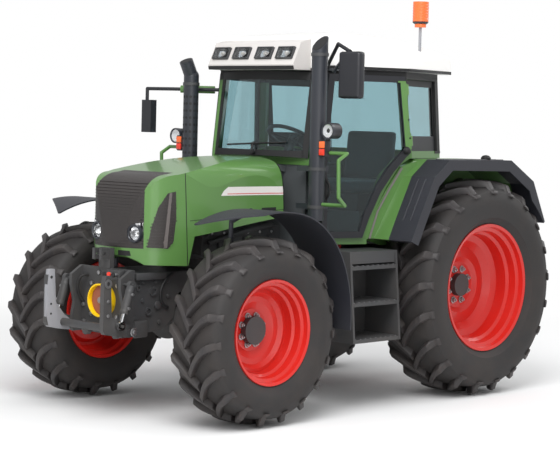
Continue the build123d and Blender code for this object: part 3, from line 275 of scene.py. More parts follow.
# %% Patches cut from the CAD skin
def oblong(start, low, end, high):
    return [(start, low), (end, low), (end, high), (start, high)]


def patch(node, outline, side, lift, depth, view="side", keep=0.2):
    """A thin piece on a node's skin inside a convex outline."""
    axis = 0 if view == "side" else 1
    if view == "side":
        outline = [(ahead(distance), height) for distance, height in outline]
    source = nodes[node]
    piece = source.copy()
    piece.data = source.data.copy()
    piece.parent = None
    piece.matrix_world = source.matrix_world.copy()
    for key in list(piece.keys()):
        del piece[key]
    bpy.context.scene.collection.objects.link(piece)
    settle(piece)
    edit(piece)
    weld()
    bpy.ops.mesh.select_all(action="DESELECT")
    fresh()
    for face in piece.data.polygons:
        face.select = face.normal[1 - axis] * side < keep
    pick(piece)
    bpy.ops.object.mode_set(mode="EDIT")
    bpy.ops.mesh.select_mode(type="FACE")
    bpy.ops.mesh.delete(type="FACE")
    middle = [sum(point[k] for point in outline) / len(outline) for k in (0, 1)]
    for start, end in zip(outline, outline[1:] + outline[:1]):
        across = (end[1] - start[1], start[0] - end[0])
        if across[0] * (middle[0] - start[0]) + across[1] * (middle[1] - start[1]) > 0:
            across = (-across[0], -across[1])
        cut_place = [0, 0, start[1]]
        cut_way = [0, 0, across[1]]
        cut_place[axis] = start[0]
        cut_way[axis] = across[0]
        bpy.ops.mesh.select_all(action="SELECT")
        bpy.ops.mesh.bisect(plane_co=cut_place, plane_no=cut_way, clear_outer=True)
    weld()
    fresh()
    for corner in piece.data.vertices:
        corner.co += corner.normal * lift
    return modify(piece, "SOLIDIFY", thickness=depth, offset=1)


# %% [markdown]
# Paint, plastic and rubber share two effects. The first is a fine grain that
# only moves the surface's height. The second lays pale dust where noise and
# nearness to the ground say so. Each is a node group with named inputs, made
# once and placed in each material with its own values.

# %% Shared shader groups
def new_group(name, inputs, outputs):
    group = bpy.data.node_groups.new(name, "ShaderNodeTree")
    for label, kind, value in inputs:
        socket = group.interface.new_socket(
            name=label, in_out="INPUT", socket_type="NodeSocket" + kind)
        socket.default_value = value
    for label, kind in outputs:
        group.interface.new_socket(name=label, in_out="OUTPUT", socket_type="NodeSocket" + kind)
    return group, group.nodes.new("NodeGroupInput"), group.nodes.new("NodeGroupOutput")


def put(node, values):
    for key, value in values.items():
        node.inputs[key].default_value = value
    return node


def add(tree, kind, values=None, **settings):
    """A new shader node with values on its input sockets."""
    node = tree.nodes.new("ShaderNode" + kind)
    for key, value in settings.items():
        setattr(node, key, value)
    return put(node, values or {})


def wire(tree, *links):
    """Join an output of one node to an input of another, for each link."""
    for source, output, target, entry in links:
        tree.links.new(source.outputs[output], target.inputs[entry])


grain_group, grain_in, grain_out = new_group(
    "surface_grain", [("Scale", "Float", 400), ("Detail", "Float", 2)], [("Height", "Float")])
place_node = add(grain_group, "TexCoord")
grain_noise = add(grain_group, "TexNoise")
wire(grain_group, (place_node, "Object", grain_noise, "Vector"), (grain_in, "Scale", grain_noise, "Scale"),
     (grain_in, "Detail", grain_noise, "Detail"), (grain_noise, "Fac", grain_out, "Height"))

dust_group, dust_in, dust_out = new_group(
    "road_dust", [("Colour", "Color", (0.1, 0.1, 0.1, 1)), ("Dust colour", "Color", (0.25, 0.2, 0.15, 1)),
                  ("Amount", "Float", 0.3), ("Height", "Float", 1.5), ("Scale", "Float", 3)],
    [("Colour", "Color"), ("Mask", "Float")])
place_node = add(dust_group, "TexCoord")
dust_noise = add(dust_group, "TexNoise", {"Detail": 8, "Roughness": 0.65})
split_node = add(dust_group, "SeparateXYZ")
low_node = add(dust_group, "MapRange", {"From Min": 0, "To Min": 1, "To Max": 0.15})
spot_node = add(dust_group, "MapRange", {"From Min": 0.35, "From Max": 0.75})
times_low = add(dust_group, "Math", operation="MULTIPLY")
times_amount = add(dust_group, "Math", operation="MULTIPLY", use_clamp=True)
dust_mix = add(dust_group, "Mix", data_type="RGBA")
wire(dust_group,
     (place_node, "Object", dust_noise, "Vector"), (dust_in, "Scale", dust_noise, "Scale"),
     (place_node, "Object", split_node, "Vector"), (split_node, "Z", low_node, "Value"),
     (dust_in, "Height", low_node, "From Max"), (dust_noise, "Fac", spot_node, "Value"),
     (low_node, "Result", times_low, 0), (spot_node, "Result", times_low, 1),
     (times_low, "Value", times_amount, 0), (dust_in, "Amount", times_amount, 1),
     (times_amount, "Value", dust_mix, "Factor"), (dust_in, "Colour", dust_mix, "A"),
     (dust_in, "Dust colour", dust_mix, "B"), (dust_mix, "Result", dust_out, "Colour"),
     (times_amount, "Value", dust_out, "Mask"))
print("groups", [group.name for group in bpy.data.node_groups])

# %% [markdown]
# One helper builds a finish from those groups: a colour with dust on it, a
# roughness that rises in the dust, and a bump from the grain. Values that
# are the same all over, such as the coat, are set on the shader's inputs.

# %% Finish helper
EARTH = (128, 112, 94)
BUMP_DEPTH = 0.002


def linear(red, green, blue):
    """A colour written as in a paint program, as the shader wants it."""
    return tuple(((c / 255 + 0.055) / 1.055) ** 2.4 for c in (red, green, blue)) + (1,)


def new_material(name, values, grain, bump):
    """A material with a grain on it, its tree and its shader."""
    material = bpy.data.materials.new(name)
    material.use_nodes = True
    tree = material.node_tree
    shader = put(tree.nodes["Principled BSDF"], values)
    grained = add(tree, "Group", {"Scale": grain}, node_tree=grain_group)
    bumped = add(tree, "Bump", {"Strength": bump, "Distance": BUMP_DEPTH})
    wire(tree, (grained, "Height", bumped, "Height"), (bumped, "Normal", shader, "Normal"))
    return material, tree, shader


def finish(name, colour, roughness, grain, bump, dust, coat=0, metallic=0, sheen=0,
           dust_colour=EARTH, dust_height=1.5, dust_scale=3):
    shine = {"Metallic": metallic, "Coat Weight": coat, "Coat Roughness": 0.08, "Sheen Weight": sheen}
    material, tree, shader = new_material(name, shine, grain, bump)
    dusting = {"Colour": linear(*colour), "Dust colour": linear(*dust_colour), "Amount": dust,
               "Height": dust_height, "Scale": dust_scale}
    coloured = add(tree, "Group", dusting, node_tree=dust_group)
    rough = add(tree, "MapRange", {"To Min": roughness, "To Max": min(1, roughness + 0.35)})
    wire(tree, (coloured, "Colour", shader, "Base Color"), (coloured, "Mask", rough, "Value"),
         (rough, "Result", shader, "Roughness"))
    return material


# %% [markdown]
# The tractor's finishes: glossy enamel on the bonnet, cab and wheels, dull
# enamel on the castings, moulded black plastic, rubber with pale dust in its
# pores, lugs painted lighter than the carcass as a painted highlight, and clear and tinted glass.
# The four numbers after each colour are its roughness, the fineness and strength of its grain, and its dust.

# %% Paints, plastics and rubber
green_enamel = finish("green_enamel", (86, 128, 66), 0.3, 900, 0.02, 0.1, coat=0.4, dust_scale=2,
                      dust_colour=(150, 165, 120))
red_enamel = finish("red_enamel", (205, 32, 24), 0.36, 700, 0.03, 0.12, coat=0.3, dust_colour=(150, 70, 50))
dull_grey = finish("dull_grey_enamel", (60, 61, 63), 0.5, 500, 0.12, 0.22)
pale_grey = finish("pale_grey_enamel", (146, 147, 152), 0.45, 500, 0.1, 0.25)
cast_iron = finish("painted_casting", (52, 54, 56), 0.6, 160, 0.35, 0.3)
black_plastic = finish("black_plastic", (32, 33, 38), 0.42, 1200, 0.12, 0.1, dust_colour=(110, 105, 100))
fender_plastic = finish("fender_plastic", (38, 39, 46), 0.5, 900, 0.15, 0.14, dust_colour=(110, 108, 105))
seal_black = finish("seal_rubber", (24, 24, 26), 0.6, 700, 0.1, 0.05)
tyre_rubber = finish("tyre_rubber", (38, 36, 36), 0.66, 260, 0.3, 0.4, dust_colour=(78, 68, 62),
                     dust_height=2.2, dust_scale=5)
# The lugs' rubber is the carcass's rubber painted lighter: a painted highlight on the lit lug tops, with real
# dust on it.
lit_lug_rubber = finish("lit_lug_rubber", (48, 45, 46), 0.5, 300, 0.3, 0.4, dust_colour=(88, 78, 70),
                    dust_height=2.2, dust_scale=9)
roof_white = finish("roof_white", (242, 241, 238), 0.35, 600, 0.03, 0.05, coat=0.25)
lamp_bar_grey = finish("lamp_bar_grey", (205, 201, 198), 0.4, 700, 0.05, 0.06)
trim_grey = finish("trim_grey", (118, 114, 110), 0.5, 600, 0.05, 0.1)
stack_black = finish("stack_black", (40, 43, 50), 0.36, 500, 0.06, 0.12, coat=0.15)
polished_rod = finish("polished_rod", (205, 206, 208), 0.16, 900, 0.02, 0.1, metallic=1)
zinc = finish("zinc_plate", (170, 170, 172), 0.35, 600, 0.05, 0.3, metallic=0.9)
grille_dark = finish("grille_dark", (50, 46, 45), 0.45, 1500, 0.4, 0.25, dust_scale=6,
                     dust_colour=(104, 94, 86))
grille_band = finish("grille_band", (98, 92, 90), 0.5, 1500, 0.4, 0.1)
stripe_white = finish("stripe_white", (226, 222, 219), 0.35, 800, 0.02, 0.05)
stripe_red = finish("stripe_red", (205, 50, 38), 0.35, 800, 0.02, 0.05)
guard_yellow = finish("guard_yellow", (255, 208, 10), 0.4, 700, 0.05, 0.08)
guard_brown = finish("guard_brown", (150, 84, 62), 0.6, 220, 0.3, 0.2)
amber_plastic = finish("amber_plastic", (244, 112, 52), 0.25, 600, 0.03, 0.05, coat=0.4)
red_lens = finish("red_lens", (226, 52, 30), 0.2, 600, 0.03, 0.05, coat=0.5)
reflector = finish("lamp_reflector", (236, 236, 238), 0.18, 200, 0.1, 0.02, metallic=0.9)
mirror_face = finish("mirror_face", (190, 198, 204), 0.05, 300, 0, 0.02, metallic=1)
cabin_grey = finish("cabin_grey", (74, 78, 80), 0.65, 800, 0.15, 0.05)
seat_cloth = finish("seat_cloth", (46, 66, 72), 0.85, 1600, 0.5, 0.05, sheen=0.3)


def clear(name, colour):
    glassy = {"Base Color": colour, "Roughness": 0.02, "Transmission Weight": 1, "IOR": 1.45}
    return new_material(name, glassy, grain=3, bump=0.03)[0]


cab_glass = clear("cab_glass", (0.5, 0.66, 0.69, 1))
lamp_glass = clear("lamp_glass", (0.97, 0.98, 0.98, 1))
print("finishes", len(bpy.data.materials))

# %% [markdown]
# Most CAD nodes show as they are, so each is given one of these finishes.

# %% Finishes of the CAD nodes
node_finishes = {
    green_enamel: "bonnet cab_frame rear_fenders grab_rails",
    red_enamel: "left_rear_rim right_rear_rim left_front_rim right_front_rim",
    dull_grey: "access_steps front_frame front_linkage_frame front_lift_barrels rear_hitch rear_lift_arms "
               "rear_lift_rods rear_lower_links front_lower_links left_front_hub right_front_hub "
               "left_rear_hub right_rear_hub",
    cast_iron: "engine_block transmission_housing front_axle rear_axle left_knuckle right_knuckle",
    black_plastic: "mirrors work_lamps dashboard steering_wheel fuel_tanks left_door right_door seat_base",
    fender_plastic: "fender_extensions left_front_fender right_front_fender",
    roof_white: "roof", lamp_bar_grey: "roof_lamp_bar", stack_black: "exhaust_stack intake_stack",
    polished_rod: "front_lift_rods", grille_dark: "grille", guard_yellow: "front_pto_guard",
    amber_plastic: "beacon", cabin_grey: "cab_floor",
    cab_glass: "windscreen left_door_glass right_door_glass cab_windows",
}
for material, names in node_finishes.items():
    for name in names.split():
        slots = nodes[name].material_slots
        if slots:
            for place in slots:
                place.material = material
        else:
            nodes[name].data.materials.append(material)
print("painted nodes", sum(len(names.split()) for names in node_finishes.values()))

# %% [markdown]
# A farm tyre is a smooth carcass with tall curved lugs. The carcass is its
# closed outline spun round the axle. One lug starts as a straight bar that
# is cut across into short lengths, bent round the crown by moving its
# corners, and then copied round the wheel by the spin tool with copies on.

# %% Tyres with lugs
def carcass(centre, radius, width, flange, seat, rim_half, lug):
    half = width / 2
    crown = radius - lug
    wall = (crown + flange) / 2
    outline = [
        (0, crown), (0.45 * half, crown - 0.003), (0.78 * half, crown - 0.016), (0.92 * half, crown - 0.045),
        (0.975 * half, crown - 0.085), (half, wall + 0.02), (0.985 * half, wall - 0.03),
        (0.93 * half, flange + 0.045), (rim_half + 0.006, flange + 0.012), (rim_half - 0.004, flange - 0.004),
        (rim_half - 0.012, seat + 0.006),
    ]
    outline = outline + [(-across, r) for across, r in reversed(outline[1:])]
    return turned(outline, centre, (0, 1, 0), steps=96)


def lug_bar(centre, radius, width, lug, side, count, turn, sweep, thick):
    """One curved lug, copied all round the tyre by the spin tool."""
    fresh()
    bpy.ops.mesh.primitive_cube_add(size=2)
    bar = bpy.context.object
    edit(bar)
    for cut in range(1, 10):
        bpy.ops.mesh.select_all(action="SELECT")
        bpy.ops.mesh.bisect(plane_co=(-1 + cut * 0.2, 0, 0), plane_no=(1, 0, 0))
    fresh()
    inner_end = -0.022
    outer_end = 0.965 * width / 2
    for corner in bar.data.vertices:
        along = (corner.co.x + 1) / 2
        top = corner.co.z > 0
        reach = thick * (0.5 if top else 0.78) * (1 - 0.12 * along)
        across = inner_end + along * (outer_end - inner_end)
        height = radius - 0.002 - 0.03 * max(0, along - 0.55) ** 1.5 / 0.3 if top else radius - lug - 0.012
        if along > 0.9:
            height -= 0.055 if top else 0.045
            across += 0.002 if top else 0.012
        angle = turn + sweep * (1 - math.sin(along * math.pi / 2)) + corner.co.y * reach / radius
        corner.co = (math.sin(angle) * height, side * across, math.cos(angle) * height)
    face_out(bar)
    bevel_edges(bar, 0.006, segments=2, angle_limit=math.radians(40))
    edit(bar)
    bpy.ops.mesh.spin(steps=count - 1, angle=2 * math.pi * (count - 1) / count,
                      center=(0, 0, 0), axis=(0, 1, 0), dupli=True)
    fresh()
    bar.location = centre
    settle(bar)
    return paint(bar, lit_lug_rubber)


def tyre(name, body, centre, radius, width, flange, seat, rim_half, lug, count, sweep, thick):
    pieces = [paint(carcass(centre, radius, width, flange, seat, rim_half, lug), tyre_rubber)]
    for side, turn in ((1, 0), (-1, math.pi / count)):
        pieces.append(lug_bar(centre, radius, width, lug, side, count, turn, sweep, thick))
    whole = join(pieces)
    done(whole, name + "_lugged", body, smooth=32)
    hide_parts(name)
    return whole


for hand, side in SIDES:
    tyre(f"{hand}_rear_tyre", f"{hand}_rear_wheel", at(0, side * 0.865, REAR_RADIUS), REAR_RADIUS,
         width=0.56, flange=0.51, seat=0.48, rim_half=0.22, lug=0.052, count=21, sweep=0.3, thick=0.058)
    tyre(f"{hand}_front_tyre", f"{hand}_front_wheel", at(FRONT_AXLE, side * 0.891, FRONT_RADIUS),
         FRONT_RADIUS, width=0.48, flange=0.378, seat=0.352, rim_half=0.184, lug=0.045, count=19,
         sweep=0.34, thick=0.052)

# %% [markdown]
# The bonnet's side has a dark mesh vent in a green frame, a pale stripe, a
# seam where the nose section ends and a small dark plate that stays blank.
# All are patches of the CAD skin, so they bend with it.

# %% Bonnet side: vent, stripe and seams
VENT = [(2.712, 1.612), (2.775, 1.597), (2.835, 1.5), (2.872, 1.36), (2.892, 1.215), (2.765, 1.207),
        (2.722, 1.262), (2.706, 1.42)]
VENT_RIM = [(2.7, 1.628), (2.782, 1.612), (2.846, 1.507), (2.884, 1.363), (2.906, 1.203), (2.76, 1.195),
            (2.712, 1.258), (2.694, 1.42)]
SLAT_HEIGHT = 0.006


def vent_span(height, margin=0.007):
    """Where the vent's outline starts and ends at a height, less a margin."""
    found = []
    for start, end in zip(VENT, VENT[1:] + VENT[:1]):
        if (start[1] - height) * (end[1] - height) < 0:
            share = (height - start[1]) / (end[1] - start[1])
            found.append(start[0] + share * (end[0] - start[0]))
    return min(found) + margin, max(found) - margin


def bonnet_slat(low, side):
    start, end = vent_span(low + SLAT_HEIGHT / 2)
    return patch("bonnet", oblong(start, low, end, low + SLAT_HEIGHT), side, 0.004, 0.003)


for hand, side in SIDES:
    for outline, lift, depth, name, look in (
            (VENT_RIM, 0.0005, 0.0025, "vent_rim", green_enamel),
            (VENT, 0.002, 0.003, "side_vent", grille_dark)):
        done(patch("bonnet", outline, side, lift, depth), f"{hand}_{name}", "bonnet", look)
    slats = [bonnet_slat(1.222 + k * 0.0225, side) for k in range(17)]
    build(slats, f"{hand}_vent_slats", grille_dark, "bonnet")
    for outline, lift, depth, name, look in (
            ([(2.742, 1.6), (2.764, 1.597), (2.8, 1.21), (2.772, 1.21)],
             0.0065, 0.0025, "vent_band", grille_band),
            ([(1.66, 1.577), (1.66, 1.64), (2.225, 1.64), (2.272, 1.612), (2.3, 1.577)],
             0.0004, 0.0006, "stripe", stripe_white),
            ([(1.665, 1.587), (1.665, 1.592), (2.215, 1.592), (2.215, 1.587)],
             0.001, 0.0006, "stripe_line", stripe_red)):
        done(patch("bonnet", outline, side, lift, depth), f"{hand}_{name}", "bonnet", look)
    seams = [
        patch("bonnet", [(2.598, 1.09), (2.604, 1.09), (2.64, 1.74), (2.634, 1.74)], side, 0.0003, 0.0008),
        patch("bonnet", [(1.66, 1.47), (1.66, 1.466), (2.59, 1.4), (2.59, 1.404)], side, 0.0003, 0.0008),
        patch("bonnet", [(1.725, 1.462), (1.725, 1.486), (1.865, 1.482), (1.865, 1.457)], side, 0.0005, 0.001),
    ]
    build(seams, f"{hand}_bonnet_seams", seal_black, "bonnet")
    tail = patch("bonnet", oblong(1.64, 1.4, 1.661, 1.8), side, 0.001, 0.004)
    done(tail, f"{hand}_bonnet_edge_seal", "bonnet", seal_black)
on_bonnet = [o.name for o in bpy.data.objects if o.name.startswith("left_") and body_of(o) == "bonnet"]
print("bonnet side pieces", len(on_bonnet))

# %% [markdown]
# The nose carries a fine black mesh that wraps over its top, a bright bezel
# round each lamp with a glass dome, and two slots in the lower green panel.

# %% Nose: mesh bars, slots and lamps
bars = []
for k in range(22):
    low = 1.215 + k * 0.0212
    bars.append(patch("grille", oblong(-0.255, low, 0.255, low + 0.005), 1, 0.001, 0.003, "end", keep=0.35))
build(bars, "grille_bars", grille_dark, "bonnet")
slots = []
for side in (1, -1):
    outline = [(side * 0.055, 1.15), (side * 0.175, 1.15), (side * 0.165, 1.186), (side * 0.06, 1.186)]
    slots.append(patch("bonnet", outline, 1, 0.0004, 0.001, "end", keep=0.3))
build(slots, "nose_slots", seal_black, "bonnet")

lamp_pieces = []
for side in (1, -1):
    eye = (1.8, side * 0.196, 1.31)
    for profile, steps, look in (
            ([(0.03, 0.05), (0.036, 0.054), (0.036, 0.063), (0.02, 0.066), (-0.045, 0.066), (-0.045, 0.058),
              (0.02, 0.052)], 40, stack_black),
            ([(-0.04, 0), (-0.036, 0.02), (-0.02, 0.04), (0.01, 0.052), (0.004, 0.056), (-0.026, 0.044),
              (-0.048, 0)], 40, reflector),
            ([(-0.04, 0), (-0.04, 0.01), (-0.012, 0.01), (-0.004, 0.006), (0, 0)], 20, lamp_bar_grey),
            ([(0.026, 0.052), (0.038, 0.036), (0.045, 0.018), (0.047, 0), (0.042, 0), (0.04, 0.018),
              (0.033, 0.035), (0.021, 0.05)], 40, lamp_glass)):
        lamp_pieces.append(paint(turned(profile, eye, (1, side * 0.1, 0), steps), look))
    outline = [(side * y, z) for y, z in ((0.215, 1.262), (0.262, 1.3), (0.262, 1.392), (0.232, 1.385),
                                          (0.196, 1.372), (0.205, 1.3))]
    wing = patch("grille", outline, 1, 0.004, 0.006, "end", keep=0.1)
    lamp_pieces.append(paint(wing, reflector))
headlamp_set = build(lamp_pieces, "headlamp_units", None, "bonnet")
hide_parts("headlights")
print("headlamps", len(headlamp_set.data.polygons))

# %% [markdown]
# Below the nose the front frame is a heavy casting with bolts, plugs and
# holes, a quick coupler block, and hoses that drop to the lift cylinders.

# %% Front frame hardware
FRAME_SIDE = 0.25
frame_bolts = []
for side in (1, -1):
    for distance, height in ((2.66, 0.97), (2.78, 0.97), (2.9, 0.97), (2.66, 0.86), (2.9, 0.84), (2.74, 0.68),
                             (2.88, 0.66), (2.98, 0.72), (2.2, 0.96), (2.12, 0.8), (2.1, 0.97)):
        frame_bolts.append(nut(at(distance, side * FRAME_SIDE, height), (0, side, 0)))
    for distance, height, radius in (
            (2.8, 0.9, 0.034), (2.94, 0.93, 0.022), (2.84, 0.76, 0.03), (2.14, 0.88, 0.03)):
        hole = radius * 0.62
        frame_bolts.append(turned([(0, hole), (0.012, hole), (0.012, radius), (0, radius)],
                                  at(distance, side * FRAME_SIDE, height), (0, side, 0), steps=24))
build(frame_bolts, "front_frame_bolts", dull_grey)

frame_brackets = []
for side in (1, -1):
    frame_brackets += [
        block(at(2.7, side * FRAME_SIDE, 0.985), at(2.98, side * 0.285, 1.035), 0.008),
        block(at(2.86, side * FRAME_SIDE, 0.58), at(2.99, side * 0.278, 0.7), 0.012),
        rod(at(2.76, side * FRAME_SIDE, 0.8), at(2.76, side * 0.268, 0.8), 0.028, sides=28, bevel=0.004),
        rod(at(3.03, side * 0.16, 0.6), at(3.075, side * 0.16, 0.6), 0.03, sides=24, bevel=0.004)]
build(frame_brackets, "front_frame_brackets", dull_grey)

plate_x = ahead(3.03)
coupler_parts = [paint(block((plate_x, 0.07, 0.985), (plate_x + 0.05, 0.21, 1.055), 0.006), dull_grey)]
for k in range(3):
    place = Vector((plate_x + 0.05, 0.095 + k * 0.045, 1.02))
    neck = place + Vector((0.03, 0, 0.004))
    coupler_parts.append(paint(rod(place, neck, 0.015, bevel=0.002), zinc))
    coupler_parts.append(paint(rod(neck, place + Vector((0.044, 0, 0.005)), 0.018, bevel=0.004),
                               red_lens if k == 1 else seal_black))
for across, height in ((0.215, 0.6), (0.215, 0.66), (0.14, 0.72), (0.14, 0.94), (0.06, 1.02), (0.225, 0.78)):
    coupler_parts += [paint(nut((plate_x, side * across, height), (1, 0, 0)), zinc) for side in (1, -1)]
build(coupler_parts, "front_coupler_block")

PTO_HEIGHT = 0.829
pto_parts = [
    paint(turned([(0, 0), (0.006, 0), (0.01, 0.06), (0.004, 0.104), (-0.006, 0.107), (-0.01, 0.06)],
                 (plate_x + 0.025, 0, PTO_HEIGHT), (1, 0, 0)), guard_brown),
    paint(turned([(0, 0), (0.022, 0), (0.022, 0.018), (0.016, 0.024), (0, 0.024)],
                 (plate_x + 0.03, 0, PTO_HEIGHT), (1, 0, 0), steps=32), zinc),
]
build(pto_parts, "front_pto_face")
print("front hardware placed")

# %% [markdown]
# Each lift cylinder gets a gland ring, an end ring and two hose ports, and
# the links get pin heads and bolt heads. The right link gets a pale plate.
# Short hoses are tubes along a smooth curve through four or five points.

# %% Cylinders, pins and hoses
cylinder_head = Vector(at(3.09, 0, 0.965))
cylinder_foot = Vector(at(3.182, 0, 0.686))
cylinder_way = (cylinder_foot - cylinder_head).normalized()
gland_parts = []
for side in (1, -1):
    top = cylinder_head + Vector((0, side * 0.35, 0))
    for profile, distance in (
            ([(-0.012, 0.03), (-0.01, 0.0312), (0.01, 0.0312), (0.014, 0.029), (0.014, 0.016),
              (-0.012, 0.016)], 0.19),
            ([(-0.01, 0.0302), (-0.008, 0.0312), (0.01, 0.0312), (0.014, 0.0302)], 0.045)):
        ring = turned(profile, top + cylinder_way * distance, cylinder_way, steps=32)
        gland_parts.append(paint(ring, dull_grey))
    for distance in (0.065, 0.165):
        port = top + cylinder_way * distance + Vector((0, side * 0.022, 0))
        port_end = port + Vector((0, side * 0.024, 0))
        gland_parts.append(paint(rod(port, port_end, 0.01, sides=16, bevel=0.001), zinc))
build(gland_parts, "lift_cylinder_fittings", None, "front_barrels")

LINK_PIVOT = (3.078, 0.64)
LINK_BOLTS = 3.28
pin_parts = []
for side in (1, -1):
    distance, height = LINK_PIVOT
    head_end = at(distance, side * 0.377, height)
    pin_parts += [
        rod(at(distance, side * 0.367, height), head_end, 0.03, sides=28, bevel=0.003),
        nut(head_end, (0, side, 0), radius=0.014, height=0.008),
        turned([(-0.003, 0.015), (0.0035, 0.015), (0.0035, 0.031), (-0.003, 0.031)],
               at(LINK_BOLTS, side * 0.328, 0.98), (0, side, 0), steps=28)]
    pin_parts += [nut(at(LINK_BOLTS, side * 0.3265, height), (0, side, 0), radius=0.013, height=0.01)
                  for height in (0.76, 0.86)]
build(pin_parts, "front_link_pins", zinc, "front_links")
plate_parts = [paint(plate([(3.252, 1.037), (3.306, 1.037), (3.3195, 0.9), (3.3195, 0.7), (3.302, 0.628),
                            (3.2, 0.607), (3.08, 0.592), (3.085, 0.66), (3.16, 0.71), (3.236, 0.8)],
                           -0.3185, -0.2845), pale_grey)]
for height, radius in ((0.72, 0.008), (0.79, 0.008), (0.98, 0.011)):
    spot = rod(at(3.283, -0.2855, height), at(3.283, -0.2835, height), radius, sides=16)
    plate_parts.append(paint(spot, seal_black))
build(plate_parts, "right_link_plate", None, "front_links")

hose_parts = []
for side in (1, -1):
    for radius, points in (
            (0.009, ((3.03, 0.18, 0.99), (3.08, 0.19, 1), (3.1, 0.215, 0.95), (3.08, 0.235, 0.86),
                     (3.034, 0.225, 0.8))),
            (0.01, ((2.62, 0.262, 1.02), (2.7, 0.275, 0.99), (2.76, 0.278, 0.9), (2.73, 0.272, 0.8),
                    (2.66, 0.262, 0.78))),
            (0.016, ((2.05, 0.225, 1.1), (2.16, 0.26, 1.16), (2.3, 0.27, 1.1), (2.44, 0.26, 1.15),
                     (2.6, 0.235, 1.12)))):
        line = [at(distance, side * across, height) for distance, across, height in points]
        hose_parts.append(hose(line, radius))
build(hose_parts, "front_hoses", seal_black)

# %% [markdown]
# What shows of the engine between the bonnet and the wheel is a plain block
# in CAD, so ribs, a cover, a filter and pipes break up its flank.

# %% Engine flank
FLANK = 0.215
flank = []
for side in (1, -1):
    for k in range(5):
        start = 1.6 + k * 0.13
        rib = block(at(start, side * FLANK, 0.96), at(start + 0.018, side * 0.235, 1.26), 0.004)
        flank.append(paint(rib, cast_iron))
    flank += [
        paint(block(at(1.56, side * FLANK, 1.27), at(2.26, side * 0.24, 1.315), 0.008), cast_iron),
        paint(rod(at(2.02, side * 0.28, 0.97), at(2.02, side * 0.28, 1.13), 0.048, sides=32, bevel=0.008),
              dull_grey),
        paint(rod(at(2.02, side * FLANK, 1.15), at(2.02, side * 0.3, 1.15), 0.04, sides=24, bevel=0.006),
              cast_iron)]
    for k in range(6):
        head = nut(at(1.6 + k * 0.125, side * 0.24, 1.292), (0, side, 0), radius=0.011, height=0.008)
        flank.append(paint(head, zinc))
build(flank, "engine_flank_details")
pipe_set = [hose([at(1.6, side * 0.25, 1.34), at(1.8, side * 0.29, 1.33), at(2.05, side * 0.27, 1.28),
                  at(2.25, side * 0.235, 1.22)], 0.02) for side in (1, -1)]
build(pipe_set, "engine_pipes", cast_iron)

# %% [markdown]
# Cab parts sit on leaning or bowed panels, so a helper finds the place where
# a straight line from outside first meets a CAD node. Another lays flat
# strips on the cab's skin: black bands round the glass, a black band of
# painted shade under the roof's edge, green post covers and the pale trim along the fender's edge.

# %% Cab skin: bands, posts and trim
OUTSIDE = 1.4
WINDSCREEN_FRONT = 2.2
bpy.context.view_layer.update()


def touch(node, start, way):
    """Where a line from start first meets a node, in world metres."""
    source = nodes[node]
    back = source.matrix_world.inverted()
    hit, place, _, _ = source.ray_cast(back @ Vector(start), back.to_3x3() @ Vector(way).normalized())
    return source.matrix_world @ place if hit else None


def strips(node, outlines, side, name, body="chassis", look=seal_black, lift=0.001, depth=0.003, view="side"):
    pieces = [patch(node, outline, side, lift, depth, view) for outline in outlines]
    return build(pieces, name, look, body)


for hand, side in SIDES:
    door = f"{hand}_door"
    # A black band under the roof's edge on each side is painted shade where the roof overhangs the cab.
    strips("cab_frame", [oblong(0.1, 2.44, 1.45, 2.531)], side, f"{hand}_roof_rail_band")
    strips("cab_frame", [[(0.02, 1.9), (0.15, 1.9), (0.2, 2.5), (0.05, 2.5)]], side, f"{hand}_rear_post_band")
    strips(door, [[(0.6, 1.93), (0.738, 1.93), (0.8, 2.455), (0.6, 2.455)]], side,
           f"{hand}_door_stile_cover", door, green_enamel)
    strips("cab_windows", [oblong(0.06, 1.88, 0.68, 2.035)], side, f"{hand}_quarter_panel",
           look=black_plastic, depth=0.006)
    strips("cab_windows", [oblong(0.06, 2.42, 0.7, 2.5),
                           [(0.1, 2.03), (0.15, 2.03), (0.185, 2.43), (0.1, 2.43)],
                           [(0.6, 2.03), (0.68, 2.03), (0.7, 2.43), (0.64, 2.43)]], side,
           f"{hand}_quarter_seal")
    strips("rear_fenders", [[(1.022, 1.25), (1.006, 1.25), (0.935, 1.46), (0.95, 1.465)],
                            [(0.95, 1.46), (0.934, 1.46), (0.826, 1.64), (0.841, 1.648)],
                            [(0.841, 1.645), (0.827, 1.636), (0.728, 1.785), (0.742, 1.795)]], side,
           f"{hand}_fender_trim", look=trim_grey, lift=0.002, depth=0.004)
    bolts = []
    for height in (2.02, 2.16, 2.3, 2.42):
        place = touch(door, at(0.705 + 0.082 * (height - 2.1), side * OUTSIDE, height), (0, -side, 0))
        if place:
            bolts.append(nut(place, (0.3, side, 0), radius=0.009, height=0.006))
    build(bolts, f"{hand}_door_bolts", seal_black, door)
    x, y, _ = touch(door, at(1.412, side * OUTSIDE, 1.62), (0, -side, 0))
    handle = [
        block((x - 0.016, y, 1.53), (x + 0.016, y + side * 0.016, 1.71), 0.006),
        hose([(x, y + side * 0.012, 1.55), (x, y + side * 0.045, 1.57), (x, y + side * 0.045, 1.67),
              (x, y + side * 0.012, 1.69)], 0.009),
    ]
    build(handle, f"{hand}_door_handle", seal_black, door)
    hinge_cap = touch(door, at(0.732, side * OUTSIDE, 1.925), (0, -side, 0))
    if hinge_cap:
        dome = turned([(0, 0), (0, 0.03), (0.016, 0.029), (0.03, 0.02), (0.036, 0)],
                      (hinge_cap.x, hinge_cap.y - side * 0.001, 1.925), (0, side, 0), steps=32)
        done(dome, f"{hand}_hinge_cover", door, seal_black)
# The same black band of painted shade under the roof's front edge.
strips("cab_frame", [oblong(-0.72, 2.44, 0.72, 2.531)], 1, "front_roof_rail_band", view="end")
strips("windscreen", [oblong(0.452, 1.85, 0.51, 2.52), oblong(-0.51, 1.85, -0.452, 2.52),
                      oblong(-0.46, 1.85, 0.46, 1.905), oblong(-0.46, 2.44, 0.46, 2.52)], 1,
       "windscreen_band", view="end", lift=0.0006, depth=0.0015)

